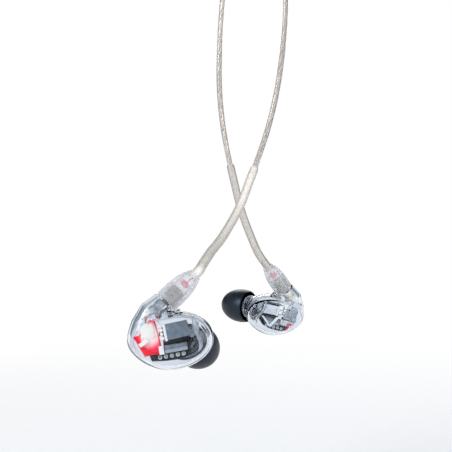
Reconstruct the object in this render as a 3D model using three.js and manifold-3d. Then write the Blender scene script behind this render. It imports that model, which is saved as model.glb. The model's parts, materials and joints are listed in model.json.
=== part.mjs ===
// A pair of clear in-ear monitors hanging from their split lead.
//
// Units are millimetres and +Z is up. The origin is the centre of the main lead's cut end, at the very top,
// and everything hangs below it. "left" is the -X side. Each earpiece is drawn in its own frame: x to the
// right across its face, y up, z out of the face, origin in the middle of the shell. The right earpiece is
// the left one mirrored in x.

import * as THREE from 'three';
import { mergeVertices } from 'three/addons/utils/BufferGeometryUtils.js';
import Module from 'manifold-3d';

const wasm = await Module();
wasm.setup();

const v = (x, y, z) => new THREE.Vector3(x, y, z);
const degrees = THREE.MathUtils.degToRad;

// ---------------------------------------------------------------- driving dimensions

const GAP = 0.3; // clearance between neighbouring pieces

// Flat sides that stand for a full circle, by the kind of piece.
const SIDES = { wire: 6, lead: 8, pin: 10, small: 12, turned: 14, collar: 16, shellEnd: 18, tipRoom: 20 };

// Lead: a thin clear jacket over stranded wire, then a stiffer sleeve over a formable wire.
const JACKET = { radius: 0.95, bore: 0.66, core: 0.36 };
const SLEEVE = { radius: 1.4, bore: 0.8, core: 0.48 };
const MAIN_LEAD = { radius: 1.4, bore: 1.05, core: 0.72, length: 8 };
const LEAD_SPREAD = 1.75; // each lead's distance from the middle where the two run side by side
const LEAD_TOP = -11; // height inside the splitter at which the two thin leads begin
const HINGE_GAP = 0.3; // each lead end stops this far from the point it swings about
const LEAD_STEPS = 20; // lengths that each swept lead is divided into
const CLEAR_OF_BOOT = 1; // each lead is already on the neck's axis this far out of its boot

// Splitter and cinch slider, both flattened blocks that the leads pass through.
const SPLITTER = { top: -4, height: 10, width: 8.4, thickness: 4.6, bevel: 0.7 };
const CINCH = { top: -16, height: 7, width: 8.8, thickness: 5, bevel: 0.9 };
const CUT_BEYOND = 1; // how far a cutter runs out past the face that it opens

// Shell: a soft oval pebble, with a neck that carries the socket and a snout that carries the nozzle.
const OVAL = {
  centre: v(0.1, -0.4, 0),
  halfWidth: 11.2,
  halfHeight: 7.65,
  front: 5,
  back: 6,
  topPower: 2.3,
  bottomPower: 1.85,
  depthPower: 2.3,
};
const WALL = 1;
const NECK_END = v(-1.54, 9.3, -0.42);
const NECK_AXIS = v(0.735, 0.658, -0.162).normalize();
const NECK_RADIUS = 3.25;
const NECK_SPINE = [v(-7.5, 0.5, 0), v(-6.8, 4.2, 0.3), v(-5.2, 7, 0.2), along(NECK_END, NECK_AXIS, 1.4)];
const SEAT = v(4.9, -1.2, -7.6);
const SEAT_AXIS = v(0.51, -0.28, -0.81).normalize();
const SNOUT = { root: v(1.5, -0.3, -2), rootRadius: 5.3, seatRadius: 4.35 };
const SNOUT_FILLET = 3;
const NECK_FILLET = 2.4;
const SHELL_MIDDLE = v(-0.9, 1.1, -0.9); // every wall point is in plain sight of this point
const SEAM = { point: v(0, 0, 1.5), normal: v(0.1, -0.22, 1).normalize(), gap: 0.12 };
const OUTER_GRID = { columns: 26, rows: 14 };
const INNER_GRID = { columns: 16, rows: 9 };

// Cylinders that square off the shell's two ends, clear the room beyond them and bore them out. The neck's
// are measured along the neck axis and the snout's along the seat axis, and negative is inside the earpiece.
const NECK_STUB = { from: -4, to: 0, radius: NECK_RADIUS };
const SNOUT_STUB = { from: -2.5, to: 0, radius: SNOUT.seatRadius };
const BOOT_ROOM = { from: 0, to: 16, radius: 3.8 };
const TIP_ROOM = { from: 0, to: 18, radius: 6.6 };
const SOCKET_BORE = { from: -5, to: 3, radius: 2.3 };
const NOZZLE_BORE = { from: -4, to: 3, radius: 2.6 };

// Inside an earpiece. Drivers are boxes, turned about z by an angle in degrees. The other pieces are flat
// outlines of [x, y] corners that stand from one height in z to another.
const DRIVER_CORNER = 0.25;
const WOOFER = { size: [6.9, 4.6, 2.9], angle: 6, middle: [1.6, 2.2, 0.4] };
const MID = { size: [6.1, 2.5, 2.6], angle: 8, middle: [1.85, -2.15, 0.5] };
const TWEETER = { size: [4.6, 2.5, 1.8], angle: 0, middle: [-0.5, 1.8, -3.5] };
const INSIDE_ALLOWANCE = 0.35; // how far the pieces stay from the shell's inner skin
const MODULE = {
  outline: [
    [-5.5, 5.2], [-4.3, 5.2], [-2.2, -2.4], [-2.2, -3.85],
    [-4.9, -3.85], [-6.8, -4.4], [-9.8, 0.8], [-8.4, 1.1],
  ],
  from: -1.85,
  to: 1.3,
};
const MODULE_PLATE = {
  outline: [[-8.1, 1], [-5, 1], [-4.6, 2], [-5.1, 4.6], [-7, 4.6], [-8.2, 3.3]],
  from: 1.6,
  to: 2.05,
};
const MODULE_CLIP = {
  outline: [[-8.4, -1.75], [-7.8, -2.5], [-5.3, -0.45], [-5.8, 0.55]],
  from: 1.6,
  to: 2.05,
};
const BRACKET = {
  outline: [[-1.9, -3.8], [4.6, -3.8], [5, 0], [4.8, 4.6], [-1.9, 4.6]],
  from: -1.75,
  to: -1.2,
};
const BOARD = {
  outline: [[-4.6, -5.2], [4.8, -5.2], [4.8, -4.25], [-4.6, -4.25]],
  from: -1.5,
  to: 1.7,
};
const SOLDER_ROW = {
  count: 5,
  pitch: 1.1,
  radius: 0.38,
  left: -1.1,
  top: -5.5,
  waist: -5.7,
  from: -0.2,
  to: 0.9,
};
const DUCT = {
  path: [
    v(6.4, 4, 0.3), v(6.6, 2.6, -0.5), v(5.8, 1.3, -2.5), v(4.3, 0.5, -3.8), along(SEAT, SEAT_AXIS, -2.7),
  ],
  radius: 0.95,
  bore: 0.55,
  steps: 10,
};

// Connector, measured along the neck axis from the neck's end. Negative is inside the earpiece.
const SOCKET = { from: -4.2, to: -0.3, radius: 2.05, bore: 1.5, floor: -3.6, pinHole: 0.62 };
const PIN = { from: -4.8, to: -1, radius: 0.32 };
const PLUG = {
  noseFrom: -3.1,
  noseTo: 0.6,
  noseRadius: 1.2,
  noseBore: 0.62,
  boreTo: -0.4,
  barrelTo: 5.2,
  barrelRadius: 2.1,
};
const GROOVE = { from: -2.2, to: -1.4, radius: 0.82 };
const SNAP_RING = { inner: 1, outer: 1.32, width: 0.4, split: degrees(40) };
const BOOT_OUTLINE = [
  [0.3, 3.12], [0.8, 3.24], [3.6, 3.36], [7.1, 3.13], [9.7, 2.5], [11.1, 1.96], [11.5, 1.86],
];
const BOOT = {
  barrelBore: 2.4,
  barrelEnd: 5.5,
  chamberBore: 1.8,
  sleeveBore: 1.66,
  sleeveFrom: 9.6,
  end: 11.5,
};
const MARKER = { from: 6.2, to: 8.2, outer: 1.5, inner: 0.82 };

// Nozzle stack, measured along the seat axis from the seat. Negative is inside the earpiece.
const NOZZLE = {
  from: -1.9,
  to: 8.3,
  radius: 2.3,
  bore: 1.55,
  flange: 3.2,
  flangeFrom: 0.3,
  flangeTo: 0.9,
  lipFrom: 7.8,
  lip: 2,
};
const COLLAR = {
  from: 0.3,
  to: 3.1,
  radius: 4.25,
  bore: 2.6,
  counterbore: 3.5,
  step: 1.2,
  footRadius: 4.05,
  headRadius: 3.75,
};
const GRIP = { middles: [1.2, 2.1], halfWidth: 0.3, depth: 0.3 };
const FILTER = { from: 1, to: 6.5, outer: 1.26, inner: 0.85 };
const WAX_MESH = { from: 7.6, to: 7.9, radius: 1.26 };
const TIP = { stemFrom: 3.4, stemTo: 10, stem: 3.3, to: 13.6, bore: 2.6, boreEnd: 8.7, hole: 1.8 };
const TIP_SKIRT = [ // from the hollow behind the dome, around the skirt's edge, to the front
  [10.6, 3.8], [9.6, 4.8], [7, 5.45], [2.8, 5.35], [2.6, 5.7], [3.6, 6.02],
  [5.6, 6.2], [8, 6], [10.3, 5.25], [12.2, 4.15], [13.3, 2.95], [13.6, 2.2],
];

// Where the two earpieces hang, and how each is turned. Angles are in degrees.
const LEFT_PLACE = { centre: v(-24.2, -61.8, -179.1), azimuth: 8, tilt: 7.7, yaw: 0, roll: 0.5 };
const RIGHT_PLACE = { centre: v(8.2, 4.8, -181.7), azimuth: -4.4, tilt: -11, yaw: 24, roll: -15 };

// The leads' paths. Each swings about its pivot, where the thin lead enters the stiff sleeve.
const LEFT_LEAD = {
  upper: [
    v(LEAD_SPREAD, 0, LEAD_TOP), v(LEAD_SPREAD, 0, -14), v(LEAD_SPREAD, 0, -25), v(LEAD_SPREAD, 0, -36),
    v(6.9, -1.5, -48.5), v(10.8, -3, -60), v(11.3, -5, -69.6), v(10.3, -8, -84.8), v(7.7, -12, -103),
    v(4.2, -16, -117.2),
  ],
  pivot: v(-0.2, -20.5, -130.1),
  lower: [
    v(-1.9, -23, -134.4), v(-5.3, -28.5, -143.2), v(-8.5, -34.5, -149.1), v(-11.3, -40.5, -153.5),
    v(-13.9, -46.5, -156.7), v(-16, -52.5, -159.8),
  ],
};
const RIGHT_LEAD = {
  upper: [
    v(-LEAD_SPREAD, 0, LEAD_TOP), v(-LEAD_SPREAD, 0, -14), v(-LEAD_SPREAD, 0, -25), v(-LEAD_SPREAD, 0, -36),
    v(-5.8, 0.2, -47), v(-9.4, 0.4, -57), v(-10.96, 0.5, -67.9), v(-12.05, 1, -85.8), v(-12.05, 1, -100.2),
    v(-10.6, 1, -114.7),
  ],
  pivot: v(-8.25, 1, -127),
  lower: [v(-6.9, 1, -132.8), v(-4.1, 1, -144), v(-1.2, 0.8, -152), v(2, -0.6, -159.4)],
};

// ---------------------------------------------------------------- solids and geometries

function along(point, axis, distance) {
  return point.clone().addScaledVector(axis, distance);
}

// Welds a geometry into one closed skin: shared corners, no slivers, faces pointing out.
function closed(geometry) {
  const bare = new THREE.BufferGeometry();
  bare.setAttribute('position', geometry.attributes.position.clone());
  if (geometry.index) bare.setIndex(geometry.index.clone());
  const welded = mergeVertices(bare, 1e-4);
  const corners = [];
  for (let i = 0; i < welded.index.count; i += 3) {
    const [a, b, c] = [0, 1, 2].map((k) => welded.index.getX(i + k));
    if (a !== b && b !== c && c !== a) corners.push(a, b, c);
  }
  welded.setIndex(volumeOf(welded, corners) < 0 ? corners.reverse() : corners);
  return welded;
}

function volumeOf(geometry, corners) {
  const at = (k) => v(0, 0, 0).fromBufferAttribute(geometry.attributes.position, k);
  let total = 0;
  for (let i = 0; i < corners.length; i += 3) {
    total += at(corners[i]).dot(at(corners[i + 1]).cross(at(corners[i + 2])));
  }
  return total;
}

function solid(geometry) {
  const skin = closed(geometry);
  const mesh = new wasm.Mesh({
    numProp: 3,
    vertProperties: new Float32Array(skin.attributes.position.array),
    triVerts: new Uint32Array(skin.index.array),
  });
  return new wasm.Manifold(mesh);
}

function geometryOf(manifold) {
  const { vertProperties, triVerts } = manifold.getMesh();
  const geometry = new THREE.BufferGeometry();
  geometry.setAttribute('position', new THREE.BufferAttribute(vertProperties, 3));
  geometry.setIndex(new THREE.BufferAttribute(triVerts, 1));
  return geometry;
}

// Turns a profile of [height, radius] pairs about +Z.
function lathe(profile, segments = SIDES.turned) {
  const points = profile.map(([height, radius]) => new THREE.Vector2(radius, height));
  return new THREE.LatheGeometry(points, segments).rotateX(Math.PI / 2);
}

// A ring profile that closes on itself.
function tubeProfile(from, to, radius, bore) {
  return [[from, bore], [from, radius], [to, radius], [to, bore], [from, bore]];
}

function rodProfile(from, to, radius) {
  return [[from, 0], [from, radius], [to, radius], [to, 0]];
}

function rod({ from, to, radius }, segments) {
  return lathe(rodProfile(from, to, radius), segments);
}

function ring({ from, to, outer, inner }, segments) {
  return lathe(tubeProfile(from, to, outer, inner), segments);
}

// Moves a geometry drawn along +Z so that it runs along an axis from a point.
function onAxis(geometry, point, axis) {
  const turn = new THREE.Quaternion().setFromUnitVectors(v(0, 0, 1), axis);
  return geometry.applyQuaternion(turn).translate(point.x, point.y, point.z);
}

const onNeck = (geometry) => onAxis(geometry, NECK_END, NECK_AXIS);
const onSeat = (geometry) => onAxis(geometry, SEAT, SEAT_AXIS);

// A round bar or tube swept along a smooth path. A bore of 0 makes it solid.
function sweep(points, radius, bore, sides, steps) {
  const section = new THREE.Shape().absarc(0, 0, radius, 0, 2 * Math.PI);
  if (bore > 0) section.holes.push(new THREE.Path().absarc(0, 0, bore, 0, 2 * Math.PI, true));
  const extrudePath = new THREE.CatmullRomCurve3(points, false, 'centripetal');
  return new THREE.ExtrudeGeometry(section, { steps, extrudePath, curveSegments: sides / 2 });
}

// A flat outline of [x, y] corners given a thickness in z, from one height to another.
function plate({ outline, from, to }) {
  const shape = new THREE.Shape(outline.map(([x, y]) => new THREE.Vector2(x, y)));
  return new THREE.ExtrudeGeometry(shape, { depth: to - from, bevelEnabled: false }).translate(0, 0, from);
}

// A box with rounded edges, centred on the origin.
function roundedBox(width, height, depth, corner) {
  const [x, y] = [width / 2 - corner, height / 2 - corner];
  const outline = new THREE.Shape();
  outline.moveTo(-x, -y).lineTo(x, -y).lineTo(x, y).lineTo(-x, y);
  const geometry = new THREE.ExtrudeGeometry(outline, {
    depth: depth - 2 * corner,
    bevelThickness: corner,
    bevelSize: corner,
    bevelSegments: 2,
  });
  return geometry.translate(0, 0, corner - depth / 2);
}

// A block with round ends in plan, standing on the XY plane's underside and centred on the Z axis.
function stadiumBlock({ top, height, width, thickness, bevel }) {
  const reach = (width - thickness) / 2;
  const radius = thickness / 2 - bevel;
  const outline = new THREE.Shape();
  outline.absarc(reach, 0, radius, -Math.PI / 2, Math.PI / 2);
  outline.absarc(-reach, 0, radius, Math.PI / 2, 1.5 * Math.PI);
  const geometry = new THREE.ExtrudeGeometry(outline, {
    depth: height - 2 * bevel,
    bevelThickness: bevel,
    bevelSize: bevel,
    bevelSegments: 1,
    curveSegments: 5,
  });
  return geometry.translate(0, 0, top - height + bevel);
}

function uprightBore(x, radius, bottom, top) {
  return solid(lathe(rodProfile(bottom, top, radius), SIDES.small).translate(x, 0, 0));
}

// ---------------------------------------------------------------- the shell's form

// Joins two distances with a soft fillet of the given width.
function fillet(a, b, width) {
  const overlap = Math.max(width - Math.abs(a - b), 0) / width;
  return Math.min(a, b) - (overlap * overlap * width) / 4;
}

function ovalDistance(point) {
  const q = point.clone().sub(OVAL.centre);
  const power = q.y > 0 ? OVAL.topPower : OVAL.bottomPower;
  const depth = q.z > 0 ? OVAL.front : OVAL.back;
  const flat = Math.abs(q.x / OVAL.halfWidth) ** power + Math.abs(q.y / OVAL.halfHeight) ** power;
  const size = (flat ** (OVAL.depthPower / power) + Math.abs(q.z / depth) ** OVAL.depthPower)
    ** (1 / OVAL.depthPower);
  return q.length() * (1 - 1 / Math.max(size, 1e-6));
}

// Distance to a bar between two points whose radius changes evenly from one to the other.
function barDistance(point, from, to, fromRadius, toRadius) {
  const span = to.clone().sub(from);
  const share = THREE.MathUtils.clamp(point.clone().sub(from).dot(span) / span.lengthSq(), 0, 1);
  const radius = THREE.MathUtils.lerp(fromRadius, toRadius, share);
  return point.distanceTo(along(from, span, share)) - radius;
}

function shellDistance(point) {
  let neck = Infinity;
  for (let i = 1; i < NECK_SPINE.length; i += 1) {
    neck = Math.min(neck, barDistance(point, NECK_SPINE[i - 1], NECK_SPINE[i], NECK_RADIUS, NECK_RADIUS));
  }
  const snout = barDistance(point, SNOUT.root, SEAT, SNOUT.rootRadius, SNOUT.seatRadius);
  return fillet(fillet(ovalDistance(point), snout, SNOUT_FILLET), neck, NECK_FILLET);
}

// The skin at a given distance from the shell's outer surface, negative going inwards.
function shellSkin(distance, { columns, rows }) {
  const geometry = new THREE.SphereGeometry(1, columns, rows).rotateX(Math.PI / 2);
  const position = geometry.attributes.position;
  for (let i = 0; i < position.count; i += 1) {
    const direction = v(0, 0, 0).fromBufferAttribute(position, i).normalize();
    const reach = reachOf(direction, distance);
    const corner = along(SHELL_MIDDLE, direction, reach);
    position.setXYZ(i, corner.x, corner.y, corner.z);
  }
  return geometry;
}

// How far the skin lies from the shell's middle in a direction: found by steps, then by halving.
function reachOf(direction, distance) {
  const step = 0.5;
  const halvings = 14;
  let outside = step;
  while (shellDistance(along(SHELL_MIDDLE, direction, outside)) < distance) outside += step;
  let inside = outside - step;
  for (let i = 0; i < halvings; i += 1) {
    const middle = (inside + outside) / 2;
    if (shellDistance(along(SHELL_MIDDLE, direction, middle)) < distance) inside = middle;
    else outside = middle;
  }
  return inside;
}

// Everything on one side of the seam, as a large block whose face lies on the seam.
function seamSide(direction) {
  const size = 60;
  const block = new THREE.BoxGeometry(size, size, size);
  const normal = SEAM.normal.clone().multiplyScalar(direction);
  const centre = along(SEAM.point, normal, size / 2 + SEAM.gap / 2);
  return solid(onAxis(block, centre, normal));
}

function shells() {
  const neckStub = solid(onNeck(rod(NECK_STUB, SIDES.shellEnd)));
  const snoutStub = solid(onSeat(rod(SNOUT_STUB, SIDES.shellEnd)));
  const bootRoom = solid(onNeck(rod(BOOT_ROOM, SIDES.shellEnd)));
  const tipRoom = solid(onSeat(rod(TIP_ROOM, SIDES.tipRoom)));
  const socketBore = solid(onNeck(rod(SOCKET_BORE, SIDES.collar)));
  const nozzleBore = solid(onSeat(rod(NOZZLE_BORE, SIDES.collar)));
  const body = solid(shellSkin(0, OUTER_GRID)).add(neckStub).add(snoutStub);
  const outside = body.subtract(bootRoom).subtract(tipRoom);
  const inside = solid(shellSkin(-WALL, INNER_GRID)).add(socketBore).add(nozzleBore);
  const wall = outside.subtract(inside);
  return {
    outer: geometryOf(wall.intersect(seamSide(1))),
    inner: geometryOf(wall.intersect(seamSide(-1))),
  };
}

// ---------------------------------------------------------------- the inside of an earpiece

const cavity = solid(shellSkin(-WALL - INSIDE_ALLOWANCE, INNER_GRID));

// Trims a piece so that it follows the inside of the shell.
function fitted(geometry) {
  return geometryOf(solid(geometry).intersect(cavity));
}

function driverBox({ size, angle, middle }) {
  return roundedBox(...size, DRIVER_CORNER).rotateZ(degrees(angle)).translate(...middle);
}

// Solder joints under the board: a strip whose lower edge is a row of half circles.
function componentRow() {
  const { count, pitch, radius, left, top, waist, from, to } = SOLDER_ROW;
  const outline = new THREE.Shape();
  outline.moveTo(left, top);
  for (let i = 0; i < count; i += 1) {
    const x = left + pitch * (i + 0.5);
    outline.lineTo(x - radius, waist);
    outline.absarc(x, waist, radius, Math.PI, 2 * Math.PI);
  }
  outline.lineTo(left + pitch * count, top);
  const geometry = new THREE.ExtrudeGeometry(outline, {
    depth: to - from,
    bevelEnabled: false,
    curveSegments: 3,
  });
  return geometry.translate(0, 0, from);
}

// A clear duct that carries the drivers' sound back to the nozzle.
function soundDuct() {
  return sweep(DUCT.path, DUCT.radius, DUCT.bore, SIDES.lead, DUCT.steps);
}

// ---------------------------------------------------------------- connector, nozzle and tip

function socketBody() {
  const { from, to, radius, bore, floor, pinHole } = SOCKET;
  return lathe([
    [from, pinHole], [from, radius], [to, radius], [to, bore],
    [floor, bore], [floor, pinHole], [from, pinHole],
  ]);
}

function plugBarrel() {
  const { noseFrom, noseTo, noseRadius, noseBore, boreTo, barrelTo, barrelRadius } = PLUG;
  return lathe([
    [boreTo, 0], [boreTo, noseBore], [noseFrom, noseBore], [noseFrom, noseRadius],
    [GROOVE.from, noseRadius], [GROOVE.from, GROOVE.radius],
    [GROOVE.to, GROOVE.radius], [GROOVE.to, noseRadius],
    [noseTo, noseRadius], [noseTo, barrelRadius], [barrelTo, barrelRadius], [barrelTo, 0],
  ]);
}

function snapRing() {
  const half = SNAP_RING.split / 2;
  const outline = new THREE.Shape();
  outline.absarc(0, 0, SNAP_RING.outer, half, 2 * Math.PI - half);
  outline.absarc(0, 0, SNAP_RING.inner, 2 * Math.PI - half, half, true);
  const ring = new THREE.ExtrudeGeometry(outline, {
    depth: SNAP_RING.width,
    bevelEnabled: false,
    curveSegments: 7,
  });
  return ring.translate(0, 0, (GROOVE.from + GROOVE.to - SNAP_RING.width) / 2);
}

function boot() {
  const { barrelBore, barrelEnd, chamberBore, sleeveBore, sleeveFrom, end } = BOOT;
  const start = BOOT_OUTLINE[0][0];
  return lathe([
    ...BOOT_OUTLINE, [end, sleeveBore], [sleeveFrom, sleeveBore], [sleeveFrom, chamberBore],
    [barrelEnd, chamberBore], [barrelEnd, barrelBore], [start, barrelBore], BOOT_OUTLINE[0],
  ]);
}

function nozzle() {
  const { from, to, radius, bore, flange, flangeFrom, flangeTo, lipFrom, lip } = NOZZLE;
  return lathe([
    [from, bore], [from, radius], [flangeFrom, radius], [flangeFrom, flange], [flangeTo, flange],
    [flangeTo, radius], [lipFrom, radius], [to, lip], [to, bore], [from, bore],
  ]);
}

// The screwed ring that holds the nozzle, with two grip grooves.
function nozzleCollar() {
  const { from, to, radius, bore, counterbore, step, footRadius, headRadius } = COLLAR;
  const outline = [[from, footRadius]];
  for (const middle of GRIP.middles) {
    outline.push([middle - GRIP.halfWidth, radius]);
    outline.push([middle, radius - GRIP.depth]);
    outline.push([middle + GRIP.halfWidth, radius]);
  }
  const inside = [[to, bore], [step, bore], [step, counterbore], [from, counterbore]];
  return lathe([...outline, [to, headRadius], ...inside, outline[0]], SIDES.collar);
}

// A soft flanged tip: a domed skirt hanging from the front end of a stem that grips the nozzle.
function earTip() {
  const { stemFrom, stemTo, stem, to, bore, boreEnd, hole } = TIP;
  const stemSide = [[stemFrom, bore], [stemFrom, stem], [stemTo, stem]];
  const passage = [[to, hole], [boreEnd, hole], [boreEnd, bore], [stemFrom, bore]];
  return lathe([...stemSide, ...TIP_SKIRT, ...passage], SIDES.shellEnd);
}

// ---------------------------------------------------------------- materials

const finish = (color, roughness, metalness = 0) => ({ color, roughness, metalness });
const FINISHES = {
  clearShell: { ...finish(0xdfe7ee, 0.05), transparent: true, opacity: 0.35 },
  clearPart: { ...finish(0xe9eef2, 0.08), transparent: true, opacity: 0.5 },
  frostedBoot: { ...finish(0xe8e8e8, 0.45), transparent: true, opacity: 0.7 },
  leadJacket: { ...finish(0xcfc9bf, 0.3), transparent: true, opacity: 0.7 },
  sleeve: finish(0xbdb6aa, 0.4),
  strandedWire: finish(0xc9a898, 0.35, 0.8),
  formableWire: finish(0xa9a7a2, 0.35, 0.9),
  plugMetal: finish(0xa8a096, 0.35, 0.9),
  socketMetal: finish(0xd8cdb4, 0.4, 0.6),
  spring: finish(0xb0b0b0, 0.3, 1),
  redPlastic: finish(0xd4213d, 0.35),
  silverPlate: finish(0xb4b8be, 0.35, 0.7),
  creamPlastic: finish(0xe6ded2, 0.5),
  driverSteel: finish(0x5d6876, 0.3, 0.8),
  blackPlastic: finish(0x15171a, 0.4),
  solder: finish(0xc8ccd0, 0.25, 1),
  rubber: finish(0x16191e, 0.55),
};

function piece(name, geometry, finishName) {
  const mesh = new THREE.Mesh(closed(geometry), new THREE.MeshStandardMaterial(FINISHES[finishName]));
  mesh.name = name;
  return mesh;
}

// ---------------------------------------------------------------- assembly

const shell = shells();

function earpiece(side, moduleFinish, driverFinish) {
  const group = new THREE.Group();
  const add = (name, geometry, finishName) => group.add(piece(`${side}_${name}`, geometry, finishName));
  add('outer_shell', shell.outer, 'clearShell');
  add('inner_shell', shell.inner, 'clearShell');
  add('socket', onNeck(socketBody()), 'socketMetal');
  add('socket_pin', onNeck(rod(PIN, SIDES.pin)), 'solder');
  add('woofer_driver', driverBox(WOOFER), driverFinish);
  add('mid_driver', driverBox(MID), driverFinish);
  add('tweeter_driver', driverBox(TWEETER), 'driverSteel');
  add('driver_bracket', fitted(plate(BRACKET)), 'blackPlastic');
  add('crossover_board', fitted(plate(BOARD)), 'blackPlastic');
  add('component_row', componentRow(), 'solder');
  add('acoustic_module', fitted(plate(MODULE)), moduleFinish);
  add('module_plate', fitted(plate(MODULE_PLATE)), 'creamPlastic');
  add('module_clip', fitted(plate(MODULE_CLIP)), 'creamPlastic');
  add('sound_duct', soundDuct(), 'clearPart');
  add('nozzle', onSeat(nozzle()), 'clearPart');
  add('filter_insert', onSeat(ring(FILTER, SIDES.small)), 'silverPlate');
  add('wax_mesh', onSeat(rod(WAX_MESH, SIDES.small)), 'solder');
  add('nozzle_collar', onSeat(nozzleCollar()), 'clearPart');
  add('ear_tip', onSeat(earTip()), 'rubber');
  add('snap_ring', onNeck(snapRing()), 'spring');
  add('plug_barrel', onNeck(plugBarrel()), 'plugMetal');
  add('boot', onNeck(boot()), 'frostedBoot');
  add('side_marker', onNeck(ring(MARKER, SIDES.turned)), 'redPlastic');
  return group;
}

// Turns a group so that its face looks along -Y, then by its own azimuth, tilt, roll and yaw.
function hang(group, { centre, azimuth, tilt, yaw, roll }) {
  const facing = new THREE.Euler(degrees(90 - tilt), 0, degrees(azimuth), 'ZXY');
  group.position.copy(centre);
  group.quaternion.setFromEuler(facing);
  group.rotateZ(degrees(roll));
  group.rotateY(degrees(yaw));
  group.updateMatrixWorld(true);
  return group;
}

// A lead from the splitter to its boot. The lower part follows the earpiece that it is plugged into.
function lead(side, { upper, pivot, lower }, ear) {
  const neckPoint = (distance) => ear.localToWorld(along(NECK_END, NECK_AXIS, distance));
  const shortOf = (target) => along(pivot, target.clone().sub(pivot).normalize(), HINGE_GAP);
  const above = [...upper, shortOf(upper.at(-1))];
  const insideBoot = [neckPoint(BOOT.end + CLEAR_OF_BOOT), neckPoint(BOOT.sleeveFrom + GAP)];
  const toBoot = [shortOf(lower[0]), ...lower, ...insideBoot];
  const toPlug = [...toBoot, neckPoint(BOOT.barrelEnd)];
  const jacket = sweep(above, JACKET.radius, JACKET.bore, SIDES.lead, LEAD_STEPS);
  const core = sweep(above, JACKET.core, 0, SIDES.wire, LEAD_STEPS);
  const sleeve = sweep(toBoot, SLEEVE.radius, SLEEVE.bore, SIDES.lead, LEAD_STEPS);
  const formable = sweep(toPlug, SLEEVE.core, 0, SIDES.wire, LEAD_STEPS + 2);
  const group = new THREE.Group();
  group.add(
    piece(`${side}_upper_jacket`, jacket, 'leadJacket'),
    piece(`${side}_upper_core`, core, 'strandedWire'),
    piece(`${side}_memory_sleeve`, sleeve, 'sleeve'),
    piece(`${side}_formable_core`, formable, 'formableWire'),
  );
  return group;
}

function splitter() {
  let block = solid(stadiumBlock(SPLITTER));
  const mainBore = uprightBore(0, MAIN_LEAD.radius + GAP, -MAIN_LEAD.length - GAP, SPLITTER.top + CUT_BEYOND);
  block = block.subtract(mainBore);
  const bottom = SPLITTER.top - SPLITTER.height - CUT_BEYOND;
  for (const x of [-LEAD_SPREAD, LEAD_SPREAD]) {
    block = block.subtract(uprightBore(x, JACKET.radius + GAP, bottom, LEAD_TOP + GAP));
  }
  return geometryOf(block);
}

function cinch() {
  let block = solid(stadiumBlock(CINCH));
  const bottom = CINCH.top - CINCH.height - CUT_BEYOND;
  for (const x of [-LEAD_SPREAD, LEAD_SPREAD]) {
    block = block.subtract(uprightBore(x, JACKET.radius + GAP, bottom, CINCH.top + CUT_BEYOND));
  }
  return geometryOf(block);
}

function loomTop() {
  const group = new THREE.Group();
  const jacket = tubeProfile(-MAIN_LEAD.length, 0, MAIN_LEAD.radius, MAIN_LEAD.bore);
  const core = rodProfile(-MAIN_LEAD.length, 0, MAIN_LEAD.core);
  group.add(
    piece('main_lead_jacket', lathe(jacket, SIDES.collar), 'leadJacket'),
    piece('main_lead_core', lathe(core, SIDES.small), 'strandedWire'),
    piece('y_split_body', splitter(), 'frostedBoot'),
    piece('cinch_slider', cinch(), 'clearPart'),
  );
  return group;
}

const left = hang(earpiece('left', 'redPlastic', 'driverSteel'), LEFT_PLACE);
const right = earpiece('right', 'silverPlate', 'silverPlate');
right.scale.x = -1;
hang(right, RIGHT_PLACE);

const monitors = new THREE.Group();
monitors.name = 'in_ear_monitors';
monitors.add(left, right, lead('left', LEFT_LEAD, left), lead('right', RIGHT_LEAD, right), loomTop());

export default monitors;
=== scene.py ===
"""The looks of a pair of clear in-ear monitors hanging from their split lead.

Lengths in the tables are millimetres. An earpiece is drawn in its own frame (x right across its face, y up,
z out of the face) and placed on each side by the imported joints. The right one is mirrored, and a few of its
pieces are its own.
"""

import json
import math

import bmesh
import bpy
import numpy as np
from mathutils import Matrix, Vector


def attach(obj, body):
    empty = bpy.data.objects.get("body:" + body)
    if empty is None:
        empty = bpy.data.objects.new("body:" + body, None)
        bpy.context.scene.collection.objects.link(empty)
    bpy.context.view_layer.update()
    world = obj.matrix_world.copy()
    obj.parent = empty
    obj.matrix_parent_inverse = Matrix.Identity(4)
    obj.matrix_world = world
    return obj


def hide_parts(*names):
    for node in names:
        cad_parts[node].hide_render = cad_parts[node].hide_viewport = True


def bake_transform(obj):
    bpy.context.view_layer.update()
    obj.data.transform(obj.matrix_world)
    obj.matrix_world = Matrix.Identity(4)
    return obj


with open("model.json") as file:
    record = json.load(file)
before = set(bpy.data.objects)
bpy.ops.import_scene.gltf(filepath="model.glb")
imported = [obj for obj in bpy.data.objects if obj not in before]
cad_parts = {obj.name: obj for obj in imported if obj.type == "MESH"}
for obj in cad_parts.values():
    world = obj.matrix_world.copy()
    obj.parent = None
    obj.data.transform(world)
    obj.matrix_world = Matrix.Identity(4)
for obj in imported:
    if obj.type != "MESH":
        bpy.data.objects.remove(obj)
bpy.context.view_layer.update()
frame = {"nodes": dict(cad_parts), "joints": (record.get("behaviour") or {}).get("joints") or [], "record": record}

MM = 0.001
TURN = 2 * math.pi
SIDES = ("left", "right")
RECORD = frame["record"]
JOINTS = {joint["name"]: joint for joint in frame["joints"]}
BODY_OF = {node: body for body, nodes in RECORD["behaviour"]["bodies"].items() for node in nodes}



def unit(vector):
    return np.array(vector, float) / np.linalg.norm(vector)


# ---- design values, shared with the CAD source

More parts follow.
